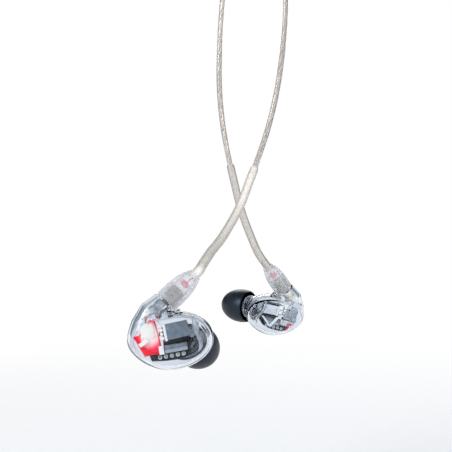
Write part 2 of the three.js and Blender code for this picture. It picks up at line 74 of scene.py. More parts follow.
OVAL_MIDDLE = np.array([0.1, -0.4, 0.0])
OVAL_HALF_WIDTH, OVAL_HALF_HEIGHT, OVAL_FRONT, OVAL_BACK = 11.2, 7.65, 5.0, 6.0
OVAL_TOP_POWER, OVAL_BOTTOM_POWER, OVAL_DEPTH_POWER = 2.3, 1.85, 2.3
WALL = 1.0
NECK_END = np.array([-1.54, 9.3, -0.42])
NECK_AXIS = unit([0.735, 0.658, -0.162])
NECK_RADIUS = 3.25
NECK_SPINE = [(-7.5, 0.5, 0), (-6.8, 4.2, 0.3), (-5.2, 7, 0.2), tuple(NECK_END + 1.4 * NECK_AXIS)]
SEAT = np.array([4.9, -1.2, -7.6])
SEAT_AXIS = unit([0.51, -0.28, -0.81])
SNOUT_ROOT, SNOUT_ROOT_RADIUS, SNOUT_SEAT_RADIUS = (1.5, -0.3, -2), 5.3, 4.35
SNOUT_FILLET, NECK_FILLET = 3.0, 2.4
SHELL_MIDDLE = np.array([-0.9, 1.1, -0.9])
SEAM_POINT = np.array([0, 0, 1.5])
SEAM_NORMAL = unit([0.1, -0.22, 1])
SEAM_GAP = 0.06
INSIDE = 1.25  # how far the inner pieces stay from the shell's outer skin
BOOT_ROOM, TIP_ROOM = 3.8, 6.6  # radii that the shell leaves free around the boot and the tip
SOCKET_BORE, NOZZLE_BORE = 2.35, 2.6
SKIN_RANGE, SKIN_HALVINGS = (0.5, 22.0), 32  # how far from the middle the skin is searched for, in 32 steps
HALF_SPACE = 60.0  # side of the block that holds one half of the shell

JACKET_RADIUS, JACKET_BORE = 0.95, 0.66
SLEEVE_RADIUS, SLEEVE_BORE, SLEEVE_MOUTH = 1.4, 0.8, 1.02
MAIN_LENGTH, MAIN_RADIUS, MAIN_BORE = 8.0, 1.4, 1.05
LEAD_SPREAD = 1.75
LEAD_TOP = -11.0
SPLITTER = {
    "top": -4.0, "bottom": -14.0, "width": 8.4, "thickness": 4.6,
    "rounding": 0.9, "ribs": 4, "rib_depth": 0.16,
}
CINCH = {
    "top": -16.0, "bottom": -23.0, "width": 8.8, "thickness": 5.0,
    "rounding": 1.1, "ribs": 3, "rib_depth": 0.3,
}
CINCH_BORE = 1.3
MAIN_STRANDS = {"radius": 0.3, "offset": 0.66, "pitch": 12}
RIBBED_SHARES = (0.26, 0.74)  # where the ribs start and end, as shares of a block's height
SNUG = 0.15  # clearance around a cable in its bore
OVERSHOOT = 1.0  # how far a cutter reaches past what it cuts
PATH_STEP = 0.5  # spacing of the points along a lead

SMOOTH_BELOW = math.radians(35)  # edges flatter than this are shaded smooth
BEVEL_ABOVE = math.radians(30)  # edges sharper than this are bevelled
LARGEST_ROUNDING = 0.42  # share of a side that one rounded corner may take up
FLUTED_BAND = 0.35  # flutes reach this far in from the widest radius
TINY = 1e-6

# ---- shapes: (corners, faces) in millimetres


def join(*shapes):
    corners, faces = [], []
    for some, more in shapes:
        start = sum(len(c) for c in corners)
        corners.append(np.asarray(some, float))
        faces += [[start + k for k in face] for face in more]
    return np.vstack(corners), faces


def moved(shape, matrix=np.eye(3), offset=(0, 0, 0)):
    corners, faces = shape
    return np.asarray(corners, float) @ np.array(matrix).T + np.asarray(offset, float), faces


def shifted(shape, offset):
    return moved(shape, offset=offset)


def turned(shape, degrees, axis=(0, 0, 1)):
    return moved(shape, Matrix.Rotation(math.radians(degrees), 3, Vector(axis)))


def on_axis(shape, point, axis):
    """A shape drawn along +Z, moved so that it runs along an axis from a point."""
    return moved(shape, Vector((0, 0, 1)).rotation_difference(Vector(axis)).to_matrix(), point)


def on_neck(shape):
    return on_axis(shape, NECK_END, NECK_AXIS)


def on_seat(shape):
    return on_axis(shape, SEAT, SEAT_AXIS)


def softened(points, radius, steps=4):
    """A polyline with each corner replaced by a small curve. One that ends where it starts stays closed."""
    points = [np.array(p, float) for p in points]
    closed = np.allclose(points[0], points[-1])
    points = points[:-1] if closed else points
    result = []
    for i, corner in enumerate(points):
        if not closed and i in (0, len(points) - 1):
            result.append(corner)
            continue
        cuts = []
        for other in (points[i - 1], points[(i + 1) % len(points)]):
            length = np.linalg.norm(other - corner)
            cuts.append(corner + (other - corner) * min(radius, LARGEST_ROUNDING * length) / length)
        for t in np.linspace(0, 1, steps + 1):
            result.append((1 - t) ** 2 * cuts[0] + 2 * t * (1 - t) * corner + t * t * cuts[1])
    if closed:
        result.append(result[0])
    return [tuple(p) for p in result]


def lathe(profile, segments=72, flutes=0, depth=0.0):
    """Turns [height, radius] pairs about +Z. Flutes are shallow grooves around the widest part."""
    closed = np.allclose(profile[0], profile[-1])
    points = profile[:-1] if closed else profile
    widest = max(radius for _, radius in points)
    angles = np.linspace(0, TURN, segments, endpoint=False)
    corners, rings = [], []
    for height, radius in points:
        if radius < TINY:
            rings.append([len(corners)] * segments)
            corners.append((0, 0, height))
            continue
        rings.append(list(range(len(corners), len(corners) + segments)))
        groove = depth if radius > widest - FLUTED_BAND else 0.0
        reach = radius - groove * (0.5 + 0.5 * np.cos(flutes * angles))
        corners += [(r * math.cos(a), r * math.sin(a), height) for r, a in zip(reach, angles)]
    faces = []
    for i in range(len(points) if closed else len(points) - 1):
        low, high = rings[i], rings[(i + 1) % len(points)]
        for k in range(segments):
            n = (k + 1) % segments
            face = list(dict.fromkeys((low[k], low[n], high[n], high[k])))
            if len(face) > 2:
                faces.append(face)
    return np.array(corners, float), faces


def rod(start, end, radius, segments=48, soft=0.05):
    return lathe(softened([(start, 0), (start, radius), (end, radius), (end, 0)], soft), segments)


def ring(start, end, radius, bore, segments=64, soft=0.05):
    outline = [(start, bore), (start, radius), (end, radius), (end, bore), (start, bore)]
    return lathe(softened(outline, soft), segments)


def ball(radius, middle, flat=1.0, segments=20, layers=11):
    angles = np.linspace(0, math.pi, layers)
    profile = [(-radius * math.cos(a) * flat, radius * math.sin(a)) for a in angles]
    profile[0], profile[-1] = (-radius * flat, 0), (radius * flat, 0)
    return shifted(lathe(profile, segments), middle)


def belt(low, high, count):
    """Four-sided faces between two rings of corners, given each ring's first corner."""
    return [[low + k, low + (k + 1) % count, high + (k + 1) % count, high + k] for k in range(count)]


def prism(outline, low, high):
    """A flat outline of [x, y] corners standing from one height in z to another."""
    count = len(outline)
    corners = [(x, y, low) for x, y in outline] + [(x, y, high) for x, y in outline]
    faces = [list(range(count))[::-1], list(range(count, 2 * count)), *belt(0, count, count)]
    return np.array(corners, float), faces


def bevelled(shape, width, segments=3):
    mesh = bmesh.new()
    made = [mesh.verts.new(corner) for corner in shape[0]]
    for face in shape[1]:
        mesh.faces.new([made[k] for k in face])
    bmesh.ops.recalc_face_normals(mesh, faces=mesh.faces)
    edges = [e for e in mesh.edges if len(e.link_faces) == 2 and e.calc_face_angle() > BEVEL_ABOVE]
    bmesh.ops.bevel(
        mesh, geom=edges, offset=width, segments=segments, profile=0.5, affect="EDGES", clamp_overlap=True
    )
    return emptied(mesh)


def emptied(mesh):
    """A bmesh's corners and faces, after which it is given up."""
    mesh.verts.index_update()
    corners = np.array([v.co for v in mesh.verts])
    faces = [[v.index for v in face.verts] for face in mesh.faces]
    mesh.free()
    return corners, faces


def block(size, middle=(0, 0, 0), angle=0, bevel=0.12):
    x, y, z = (s / 2 for s in size)
    shape = prism([(-x, -y), (x, -y), (x, y), (-x, y)], -z, z)
    if bevel:
        shape = bevelled(shape, bevel)
    return shifted(turned(shape, angle), middle)


def cut(shape, cutters, operation="DIFFERENCE"):
    """Cuts closed shapes from a closed shape, or keeps only what lies inside them."""
    target = linked("cutting", shape)
    tools = [linked(f"cutter_{i}", cutter) for i, cutter in enumerate(cutters)]
    for tool in tools:
        modifier = target.modifiers.new("cut", "BOOLEAN")
        modifier.operation = operation
        modifier.solver = "MANIFOLD"
        modifier.object = tool
    bpy.context.view_layer.update()
    evaluated = target.evaluated_get(bpy.context.evaluated_depsgraph_get())
    mesh = evaluated.to_mesh()
    corners = np.array([v.co for v in mesh.vertices])
    faces = [list(p.vertices) for p in mesh.polygons]
    evaluated.to_mesh_clear()
    for used in [target, *tools]:
        data = used.data
        bpy.data.objects.remove(used)
        bpy.data.meshes.remove(data)
    if not faces:
        raise RuntimeError("a cut left nothing behind")
    return corners, faces


def in_scene(name, data):
    made = bpy.data.objects.new(name, data)
    bpy.context.scene.collection.objects.link(made)
    return made


def linked(name, shape):
    """A shape as a mesh object, with its faces pointing out and its soft edges shaded smooth."""
    mesh = bpy.data.meshes.new(name)
    mesh.from_pydata([tuple(map(float, c)) for c in shape[0]], [], shape[1])
    work = bmesh.new()
    work.from_mesh(mesh)
    bmesh.ops.recalc_face_normals(work, faces=work.faces)
    work.to_mesh(mesh)
    work.free()
    mesh.shade_smooth()
    mesh.set_sharp_from_angle(angle=SMOOTH_BELOW)
    return in_scene(name, mesh)


# ---- paths and tubes


def between(first, second, start, end, t):
    """The point at t on a line that is at first for start and at second for end."""
    return (end - t) / (end - start) * first + (t - start) / (end - start) * second


def lengths_along(path, power=1):
    """How far along a path each of its points lies, with each step's length raised to a power."""
    steps = np.linalg.norm(np.diff(path, axis=0), axis=1) ** power
    return np.concatenate([[0], np.cumsum(steps)])


def curve_through(points, spacing=PATH_STEP, fineness=24):
    """A smooth path through points, with knots by the square root of distance, cut at even lengths."""
    points = np.asarray(points, float)
    first = 2 * points[0] - points[1]
    last = 2 * points[-1] - points[-2]
    all_points = np.vstack([first, points, last])
    knots = lengths_along(all_points, 0.5)
    fine = []
    for i in range(1, len(all_points) - 2):
        p, k = all_points[i - 1 : i + 3], knots[i - 1 : i + 3]
        for t in np.linspace(k[1], k[2], fineness, endpoint=False):
            a = [between(p[j], p[j + 1], k[j], k[j + 1], t) for j in range(3)]
            b = [between(a[j], a[j + 1], k[j], k[j + 2], t) for j in range(2)]
            fine.append(between(b[0], b[1], k[1], k[2], t))
    fine.append(points[-1])
    fine = np.array(fine)
    along = lengths_along(fine)
    steps = np.linspace(0, along[-1], max(int(along[-1] / spacing), 2) + 1)
    return np.stack([np.interp(steps, along, fine[:, axis]) for axis in range(3)], axis=1)


def carried_frames(path):
    """Two directions across a path at each point, carried along it without twisting."""
    tangents = np.gradient(path, axis=0)
    tangents /= np.linalg.norm(tangents, axis=1)[:, None]
    across = [unit(np.cross(tangents[0], (0.3, 0.9, 0.2)))]
    for tangent in tangents[1:]:
        across.append(unit(across[-1] - tangent * (across[-1] @ tangent)))
    across = np.array(across)
    return across, np.cross(tangents, across)


def tube(path, radius, bore=0.0, sides=24):
    """A bar along a path, or a pipe if it has a bore. Radius and bore may change along it."""
    count = len(path)
    radii = np.broadcast_to(np.asarray(radius, float), (count,))
    across, up = carried_frames(path)
    angles = np.linspace(0, TURN, sides, endpoint=False)
    spokes = across[:, None] * np.cos(angles)[None, :, None] + up[:, None] * np.sin(angles)[None, :, None]
    skins = [path[:, None] + spokes * radii[:, None, None]]
    if np.any(np.asarray(bore) > 0):
        bores = np.broadcast_to(np.asarray(bore, float), (count,))
        skins.append(path[:, None] + spokes * bores[:, None, None])
    corners = np.vstack([skin.reshape(-1, 3) for skin in skins])
    faces = []
    for layer in range(len(skins)):
        for i in range(count - 1):
            low = (layer * count + i) * sides
            faces += belt(low, low + sides, sides)
    for end in (0, (count - 1) * sides):
        cap = [[end + k for k in range(sides)]]
        faces += belt(end, count * sides + end, sides) if len(skins) == 2 else cap
    return corners, faces


def strands(path, offset, radius, pitch, phases, sides=8):
    """Wires twisted around a path."""
    across, up = carried_frames(path)
    shapes = []
    for phase in phases:
        angle = (lengths_along(path) / pitch + phase) * TURN
        lines = path + offset * (across * np.cos(angle)[:, None] + up * np.sin(angle)[:, None])
        shapes.append(tube(lines, radius, sides=sides))
    return join(*shapes)


def node_rings(node, sides=6):
    """The middles of the rings that a CAD wire is made of, from the top down, in millimetres."""
    corners = np.array([v.co for v in frame["nodes"][node].data.vertices]) / MM
    corners = np.unique(np.round(corners, 4), axis=0)
    corners = corners[np.argsort(-corners[:, 2])]
    return corners.reshape(-1, sides, 3).mean(axis=1)


# ---- the shell's form


def filleted(a, b, width):
    """The nearer of two distances, rounded where they are nearly alike."""
    overlap = np.maximum(width - np.abs(a - b), 0) / width
    return np.minimum(a, b) - overlap * overlap * width / 4


def oval_distance(points):
    """Roughly how far points lie from the oval body, whose top, bottom, front and back differ in form."""
    q = points - OVAL_MIDDLE
    power = np.where(q[:, 1] > 0, OVAL_TOP_POWER, OVAL_BOTTOM_POWER)
    depth = np.where(q[:, 2] > 0, OVAL_FRONT, OVAL_BACK)
    flat = np.abs(q[:, 0] / OVAL_HALF_WIDTH) ** power + np.abs(q[:, 1] / OVAL_HALF_HEIGHT) ** power
    round_depth = np.abs(q[:, 2] / depth) ** OVAL_DEPTH_POWER
    size = (flat ** (OVAL_DEPTH_POWER / power) + round_depth) ** (1 / OVAL_DEPTH_POWER)
    return np.linalg.norm(q, axis=1) * (1 - 1 / np.maximum(size, TINY))


def bar_distance(points, start, end, start_radius, end_radius):
    """How far points lie from a round-ended bar that may taper."""
    start, end = np.array(start, float), np.array(end, float)
    span = end - start
    share = np.clip((points - start) @ span / (span @ span), 0, 1)
    radius = start_radius + (end_radius - start_radius) * share
    return np.linalg.norm(points - (start + share[:, None] * span), axis=1) - radius


def shell_distance(points):
    bars = zip(NECK_SPINE[:-1], NECK_SPINE[1:])
    neck = np.min([bar_distance(points, a, b, NECK_RADIUS, NECK_RADIUS) for a, b in bars], axis=0)
    snout = bar_distance(points, SNOUT_ROOT, SEAT, SNOUT_ROOT_RADIUS, SNOUT_SEAT_RADIUS)
    return filleted(filleted(oval_distance(points), snout, SNOUT_FILLET), neck, NECK_FILLET)


def shell_skin(distance, fineness):
    """The skin at a distance from the shell's outer surface, as a cube's grid pushed out to it."""
    mesh = bmesh.new()
    bmesh.ops.create_cube(mesh, size=2)
    bmesh.ops.subdivide_edges(mesh, edges=mesh.edges, cuts=fineness, use_grid_fill=True)
    grid, faces = emptied(mesh)
    directions = np.tan(grid * math.pi / 4)  # evens out the grid's spacing
    directions /= np.linalg.norm(directions, axis=1)[:, None]
    near, far = (np.full(len(directions), reach) for reach in SKIN_RANGE)
    for _ in range(SKIN_HALVINGS):
        middle = (near + far) / 2
        inside = shell_distance(SHELL_MIDDLE + directions * middle[:, None]) < distance
        near, far = np.where(inside, middle, near), np.where(inside, far, middle)
    return SHELL_MIDDLE + directions * near[:, None], faces


def shell_halves():
    """The shell's wall, opened for the boot, the tip, the socket and the nozzle, and parted at its seam."""
    boot_room = on_neck(rod(0, 16, BOOT_ROOM, 96, 0))
    tip_room = on_seat(rod(0, 18, TIP_ROOM, 96, 0))
    socket_bore = on_neck(rod(-5, 3, SOCKET_BORE, 64, 0))
    nozzle_bore = on_seat(rod(-4, 3, NOZZLE_BORE, 64, 0))
    wall = cut(shell_skin(0, 55), [boot_room, tip_room, shell_skin(-WALL, 40), socket_bore, nozzle_bore])
    halves = []
    for direction in (1, -1):
        middle = SEAM_POINT + direction * SEAM_NORMAL * (HALF_SPACE + SEAM_GAP) / 2
        side = on_axis(block((HALF_SPACE, HALF_SPACE, HALF_SPACE), bevel=0), middle, SEAM_NORMAL)
        halves.append(cut(wall, [side], "INTERSECT"))
    return halves


CAVITY = shell_skin(-INSIDE, 30)


def fitted(outline, low, high, bevel=0.08):
    """A slab trimmed to follow the inside of the shell, with its edges softened."""
    return bevelled(cut(prism(outline, low, high), [CAVITY], "INTERSECT"), bevel, 2)


# ---- inside an earpiece


# A driver is its size, its turn in degrees and its middle.
WOOFER = {"left": ((6.5, 4.3, 2.9), 11, (1.35, 2.15, 0.4)), "right": ((6.1, 3.7, 2.9), 5, (2.7, 2.1, 0.4))}
MID = ((6.0, 2.1, 2.6), 8, (1.2, -2.2, 0.5))
MID_LID = (5.7, 0.85, 0.14)
TWEETER = ((4.6, 2.5, 1.8), 0, (-0.5, 1.8, -3.5))
TRAY_SHARE, COVER_SHARE = 0.7, 0.5  # depths of a can's two halves, which overlap
COVER_STEP = 0.16


def driver_can(size, angle, middle):
    """A driver's can: a tray, a smaller cover standing out of it, and a pressed line across its face."""
    width, height, depth = size
    tray = block((width, height, depth * TRAY_SHARE), (0, 0, -depth * (1 - TRAY_SHARE) / 2), bevel=0.22)
    inner = (width - 2 * COVER_STEP, height - 2 * COVER_STEP, depth * COVER_SHARE)
    cover = block(inner, (0, 0, depth * (1 - COVER_SHARE) / 2), bevel=0.14)
    line = block((width * 0.86, 0.14, 0.12), (0, -height * 0.36, depth * 0.5), bevel=0.04)
    return shifted(turned(join(tray, cover, line), angle), middle)


def painted_highlight_plate(driver, thickness):
    """A white plate over a driver's left end: a painted highlight where light catches the edge of the driver's
    frame.
    """
    (width, height, depth), angle, middle = driver
    plate = block((thickness, height, depth * 1.02), (thickness / 2 - width / 2 - 0.03, 0, 0.04), bevel=0.08)
    return shifted(turned(plate, angle), middle)


def lower_lid(driver, size):
    """A lid over the lower part of a driver's face, in lighter steel as painted light where light catches that
    face.
    """
    (_, height, depth), angle, middle = driver
    lid = block(size, (0, size[1] / 2 - height / 2 + 0.12, depth / 2 + size[2] / 2 - 0.02), bevel=0.05)
    return shifted(turned(lid, angle), middle)


def bracket_tray():
    """The plate behind the drivers, the low rim at their right end and the bar between them."""
    plate = fitted([(-1.7, -3.8), (4.5, -3.8), (4.8, 0), (4.5, 4.2), (-1.8, 3.7)], -1.75, -1.2)
    # The rim and the bar are black parts that also stand for the shade in the gaps beside the cans: painted shade.
    end_rim_and_shade = fitted([(4.1, -3.2), (4.95, -3.1), (5.15, 0.3), (4.4, 0.1)], -1.6, 1.1)
    divider_and_gap_shade = fitted([(-1.5, -1.2), (4.7, -0.3), (4.9, 0.5), (-1.5, -0.3)], -1.6, 1.3)
    return join(plate, end_rim_and_shade, divider_and_gap_shade)


def brace_shape():
    """The right side's white brace: two bars that meet in a V, and three bars of the frame beside it."""
    right_bar = fitted([(6.2, -0.3), (5.3, -0.3), (1.5, -3.9), (2.4, -3.9)], 1.85, 2.3)
    left_bar = fitted([(-0.9, -0.4), (0.2, -0.4), (2.3, -3.9), (1.3, -3.9)], 1.85, 2.3)
    frame_bars = [block((1.3, 1.45, 0.8), (-1.25 + 0.1 * y, y, 1.5), 6, 0.12) for y in (3.1, 1.4, -0.3)]
    return join(right_bar, left_bar, *frame_bars)


BOARD_OUTLINE = {
    "left": [
        (-5.6, -4.1), (-2.2, -3.85), (5.0, -2.85), (5.2, -3.4), (4.3, -4.4), (2.0, -5.1), (-1.0, -5.45),
        (-5.0, -5.5),
    ],
    "right": [(-6.3, -4.5), (3.2, -2.7), (5.6, -2.4), (4.6, -3.9), (1.5, -5.0), (-2.0, -5.5), (-5.9, -5.7)],
}
BOARD_FRONT = {"left": 1.45, "right": 1.75}
SOLDER_COUNT, SOLDER_START, SOLDER_PITCH, SOLDER_SLOPE = 5, (-2.9, -4.6), 1.5, 0.14


def board_parts(side):
    """The board on edge below the drivers, with small parts on its left end."""
    front = BOARD_FRONT[side]
    board = fitted(BOARD_OUTLINE[side], -1.5, front)
    chips = [
        block((0.9, 0.5, 0.3), (-3.9, -4.6, front + 0.05), 4, 0.06),
        block((0.5, 0.4, 0.26), (-2.9, -4.35, front + 0.05), 6, 0.05),
    ]
    return join(board, *chips)


def solder_row(side):
    """Solder joints along the board's lower front edge, each in its own eyelet."""
    shapes = []
    for i in range(SOLDER_COUNT):
        x = SOLDER_START[0] + SOLDER_PITCH * i
        rise = SOLDER_SLOPE * SOLDER_PITCH * i
        middle = (x, SOLDER_START[1] + rise, BOARD_FRONT[side] - 0.02)
        shapes.append(ball(0.16, middle, 0.8))
        shapes.append(shifted(turned(ring(-0.14, 0.26, 0.5, 0.32, 28), -25, (1, 0, 0)), middle))
    return join(*shapes)


MODULE_BODY = {
    "left": [
        (-5.6, 4.9), (-4.2, 4.9), (-2.2, -2.4), (-2.2, -3.85), (-4.9, -3.85), (-6.8, -4.4), (-9.8, 0.8),
        (-8.4, 1.1),
    ],
    "right": [(-2.2, 3.6), (-8.4, 2.3), (-8.8, -2.6), (-6.4, -4.3), (-2.2, -3.0)],
}
MODULE_FACE = {
    "left": [(-7.9, 0.9), (-5.4, 4.6), (-4.5, 4.5), (-2.6, -2.3), (-2.6, -3.3), (-4.4, -3.2), (-7.6, -1.6)],
    "right": [(-2.7, 2.8), (-7.6, 1.6), (-7.8, -1.7), (-2.6, -0.9)],
}
COVER_PLATE = [(-7.7, 0.5), (-5.4, 0.1), (-4.3, 0.8), (-4.9, 4.1), (-7.0, 4.0), (-8.0, 2.6)]
MODULE_CLIP = [(-8.5, -1.05), (-7.8, -1.85), (-5.7, -0.4), (-6.3, 0.4)]
# A black ring between the right carrier and its window, a dark outline that is painted shade in the gap.
MODULE_SHADE_OUTLINE = [(-2.4, 3.2), (-7.95, 1.9), (-8.15, -2.0), (-2.3, -1.2)]


def terminal_blobs():
    spots = [
        (-2.95, 3.35, 1.45, 0.6), (-2.6, 2.25, 1.55, 0.5), (-2.4, 1.2, 1.5, 0.42), (-2.15, 0.15, 1.5, 0.5),
    ]
    blobs = [ball(radius, (x, y, z), 0.8) for x, y, z, radius in spots]
    strip = block((0.5, 4.2, 1.2), (-2.55, 1.8, 0.6), 9, 0.1)
    return join(strip, *blobs)


DUCT_PATH = [(6.4, 4, 0.3), (6.6, 2.6, -0.5), (5.8, 1.3, -2.5), (4.3, 0.5, -3.8), SEAT - 2.7 * SEAT_AXIS]
RIB_PATH = [
    (5.6, 5.3, 1.6), (6.0, 3.8, 2.4), (6.4, 1.8, 2.6), (7.2, -0.2, 2.3), (7.7, -1.9, 1.8), (7.0, -3.4, 1.6),
]


def duct():
    """The pipe from the drivers to the nozzle, and the rib of clear plastic that stands beside it."""
    pipe = tube(curve_through(DUCT_PATH, 0.3), 0.95, 0.55, 28)
    line = curve_through(RIB_PATH, 0.2)
    widths = np.interp(np.arange(len(line)), [0, 3, len(line) - 8, len(line) - 1], [0.2, 0.45, 0.45, 0.15])
    return pipe, tube(line, widths, sides=20)


def wax_guard():
    """A woven screen in a thin rim."""
    weave = [ring(7.6, 7.9, 1.26, 1.1, 48, 0.04)]
    for offset in np.linspace(-0.9, 0.9, 8):
        half = math.sqrt(1.15**2 - offset**2)
        for turn, height in ((0, 7.78), (90, 7.7)):
            line = np.array([(x, offset, height) for x in (-half, 0, half)])
            weave.append(turned(tube(line, 0.05, sides=8), turn))
    return join(*weave)


def smooth_outline(points, spacing):
    """A smooth curve through [height, radius] pairs."""
    return [tuple(p[:2]) for p in curve_through([(*point, 0) for point in points], spacing)]


def socket_shape():
    profile = [
        (-4.2, 0.62), (-4.2, 1.7), (-3.9, 2.05), (-2.9, 2.05), (-2.8, 1.85), (-2.3, 1.85), (-2.2, 2.05),
        (-0.5, 2.05), (-0.3, 1.85), (-0.3, 1.65), (-0.5, 1.5), (-3.6, 1.5), (-3.6, 0.62), (-4.2, 0.62),
    ]
    return lathe(softened(profile, 0.06))


def plug_shape():
    profile = [
        (-0.4, 0), (-0.4, 0.62), (-2.9, 0.62), (-3.1, 0.75), (-3.1, 1.05), (-2.9, 1.2), (-2.2, 1.2),
        (-2.2, 0.82), (-1.4, 0.82), (-1.4, 1.2), (0.6, 1.2), (0.6, 1.95), (0.75, 2.1), (2.2, 2.1),
        (2.3, 1.9), (2.6, 1.9), (2.7, 2.1), (5.0, 2.1), (5.2, 1.9), (5.2, 0),
    ]
    return lathe(softened(profile, 0.09), 96)


def boot_shape():
    outside = [
        (0.3, 2.95), (0.45, 3.12), (0.8, 3.24), (2.1, 3.32), (3.6, 3.36), (5.4, 3.3), (7.1, 3.13),
        (8.5, 2.86), (9.7, 2.5), (10.5, 2.2), (11.1, 1.96), (11.5, 1.8),
    ]
    smooth = smooth_outline(outside, 0.25)
    inside = [(11.5, 1.5), (9.6, 1.5), (9.6, 1.8), (5.5, 1.8), (5.5, 2.25), (0.3, 2.25)]
    return lathe(smooth + inside + smooth[:1], 96)


def nozzle_shape():
    profile = [
        (-1.9, 1.55), (-1.9, 2.3), (0.3, 2.3), (0.3, 3.2), (0.9, 3.2), (0.9, 2.3), (4.4, 2.3), (4.5, 2.15),
        (4.9, 2.15), (5.0, 2.3), (7.6, 2.3), (8.3, 1.95), (8.3, 1.55), (-1.9, 1.55),
    ]
    return lathe(softened(profile, 0.08))


def collar_shape():
    profile = [
        (0.3, 4.05), (0.7, 4.25), (1.0, 4.25), (1.2, 3.95), (1.4, 4.25), (1.8, 4.25), (2.0, 3.95),
        (2.2, 4.25), (2.6, 4.22), (3.1, 3.75), (3.1, 2.6), (1.2, 2.6), (1.2, 3.5), (0.3, 3.5), (0.3, 4.05),
    ]
    return lathe(softened(profile, 0.07), 144, 36, 0.1)


def tip_shape():
    dome = [
        (10.6, 3.8), (9.6, 4.8), (7, 5.45), (4.6, 5.5), (2.9, 5.4), (2.6, 5.62), (2.75, 5.8), (3.6, 6.02),
        (5.6, 6.2), (8, 6), (9.4, 5.6), (10.6, 5.1), (12.0, 4.25), (13.0, 3.3), (13.5, 2.55), (13.6, 2.1),
        (13.45, 1.85),
    ]
    channel = [(3.4, 2.45), (3.4, 3.3), (10, 3.3)]
    bore = [(8.7, 1.8), (8.7, 2.36), (3.4, 2.36), (3.4, 2.45)]
    return lathe(channel + smooth_outline(dome, 0.3) + bore, 112)


def snap_ring_shape():
    """An open ring of round wire."""
    angles = np.radians(np.linspace(20, 340, 65))
    path = np.stack([1.16 * np.cos(angles), 1.16 * np.sin(angles), np.full(len(angles), -1.8)], axis=1)
    return tube(path, 0.16, sides=14)


def thin_wires():
    """Two insulated wires from the socket down to the drivers' terminals."""
    start = NECK_END - 4.7 * NECK_AXIS
    upper = [start, (-5.6, 6.0, 0.9), (-5.0, 5.3, 2.0), (-3.6, 4.6, 2.3), (-2.8, 3.6, 1.9)]
    below = start + (-0.4, -0.3, -0.5)
    lower = [below, (-6.2, 5.4, -0.6), (-6.4, 3.2, -2.4), (-4.2, 0.6, -2.8), (-2.4, -1.8, -2.2)]
    return [tube(curve_through(path, 0.25), 0.2, sides=12) for path in (upper, lower)]


# ---- materials

LINE_GRAINS = (4.0, 0.12, 0.12)  # the length and the widths of one brushed line
MILK_ROUGHNESS = 0.28


class Nodes:
    """A node tree being built."""

    def __init__(self, tree):
        self.tree = tree
        self.tree.nodes.clear()

    def add(self, kind, settings=None, **inputs):
        """A node. Its inputs go by name, or by number as i0, i1 and so on."""
        made = self.tree.nodes.new(kind)
        for key, value in (settings or {}).items():
            setattr(made, key, value)
        for key, value in inputs.items():
            numbered = key[0] == "i" and key[1:].isdigit()
            self.put(made.inputs[int(key[1:]) if numbered else key.replace("_", " ")], value)
        return made

    def put(self, socket, value):
        if isinstance(value, bpy.types.NodeSocket):
            self.tree.links.new(value, socket)
        elif socket.type == "RGBA" and len(value) == 3:
            socket.default_value = (*value, 1)
        else:
            socket.default_value = value

    def calculate(self, operation, *values, clamp=False):
        inputs = {f"i{k}": value for k, value in enumerate(values)}
        return self.add("ShaderNodeMath", {"operation": operation, "use_clamp": clamp}, **inputs).outputs[0]

    def spread(self, value, low, high, start=0.3, end=0.7, way="LINEAR"):
        """A number from start to end, carried over to one from low to high."""
        return self.add(
            "ShaderNodeMapRange", {"interpolation_type": way}, Value=value,
            From_Min=start, From_Max=end, To_Min=low, To_Max=high,
        ).outputs["Result"]

    def eased(self, value, start, end, low=0, high=1):
        return self.spread(value, low, high, start, end, "SMOOTHSTEP")

    def vectors(self, operation, first, second):
        made = self.add("ShaderNodeVectorMath", {"operation": operation}, i0=first, i1=second)
        return made.outputs["Value"]

    def blend(self, share, first, second):
        return self.add("ShaderNodeMix", {"data_type": "RGBA"}, i0=share, i6=first, i7=second).outputs[2]

    def mixed(self, share, first, second):
        return self.add("ShaderNodeMixShader", i0=share, i1=first, i2=second).outputs[0]


class Surface(Nodes):
    """A material being built. Grains are in millimetres of the piece that wears it."""

    def __init__(self, name):
        self.material = bpy.data.materials.new(name)
        self.material.use_nodes = True
        super().__init__(self.material.node_tree)
        self.place = self.add("ShaderNodeTexCoord").outputs["Object"]

    def clouds(self, place, scale, detail):
        return self.add("ShaderNodeTexNoise", Vector=place, Scale=scale, Detail=detail).outputs["Fac"]

    def noise(self, grain, detail=3):
        return self.clouds(self.place, 1 / (grain * MM), detail)

    def lines(self, axes, grains):
        """Clouds drawn out along given directions, each with its own grain."""
        parts = []
        for axis, grain in zip(axes, grains):
            scaled = tuple(float(a) / (grain * MM) for a in axis)
            parts.append(self.vectors("DOT_PRODUCT", self.place, scaled))
        place = self.add("ShaderNodeCombineXYZ", X=parts[0], Y=parts[1], Z=parts[2]).outputs["Vector"]
        return self.clouds(place, 1, 3)

    def bump(self, height, strength, distance):
        made = self.add("ShaderNodeBump", Strength=strength, Distance=distance * MM, Height=height)
        return made.outputs["Normal"]

    def principled(self, **inputs):
        return self.add("ShaderNodeBsdfPrincipled", **inputs).outputs["BSDF"]

    def done(self, shader):
        self.add("ShaderNodeOutputMaterial", Surface=shader)
        return self.material


def moulded(name, dark, light, roughness, grain=1.2, bump=0.15, coat=0.0, specular=0.5, shine=(1, 1, 1)):
    """Moulded plastic or rubber: soft colour drift, a fine skin and uneven gloss."""
    s = Surface(name)
    colour = s.blend(s.spread(s.noise(grain), 0, 1), dark, light)
    gloss = s.spread(s.noise(grain / 2), roughness * 0.8, roughness * 1.2)
    skin = s.bump(s.noise(grain / 8, 4), bump, 0.03)
    return s.done(
        s.principled(
            Base_Color=colour, Roughness=gloss, Normal=skin, Coat_Weight=coat, Coat_Roughness=0.12,
            Specular_IOR_Level=specular, Specular_Tint=shine,
        )
    )


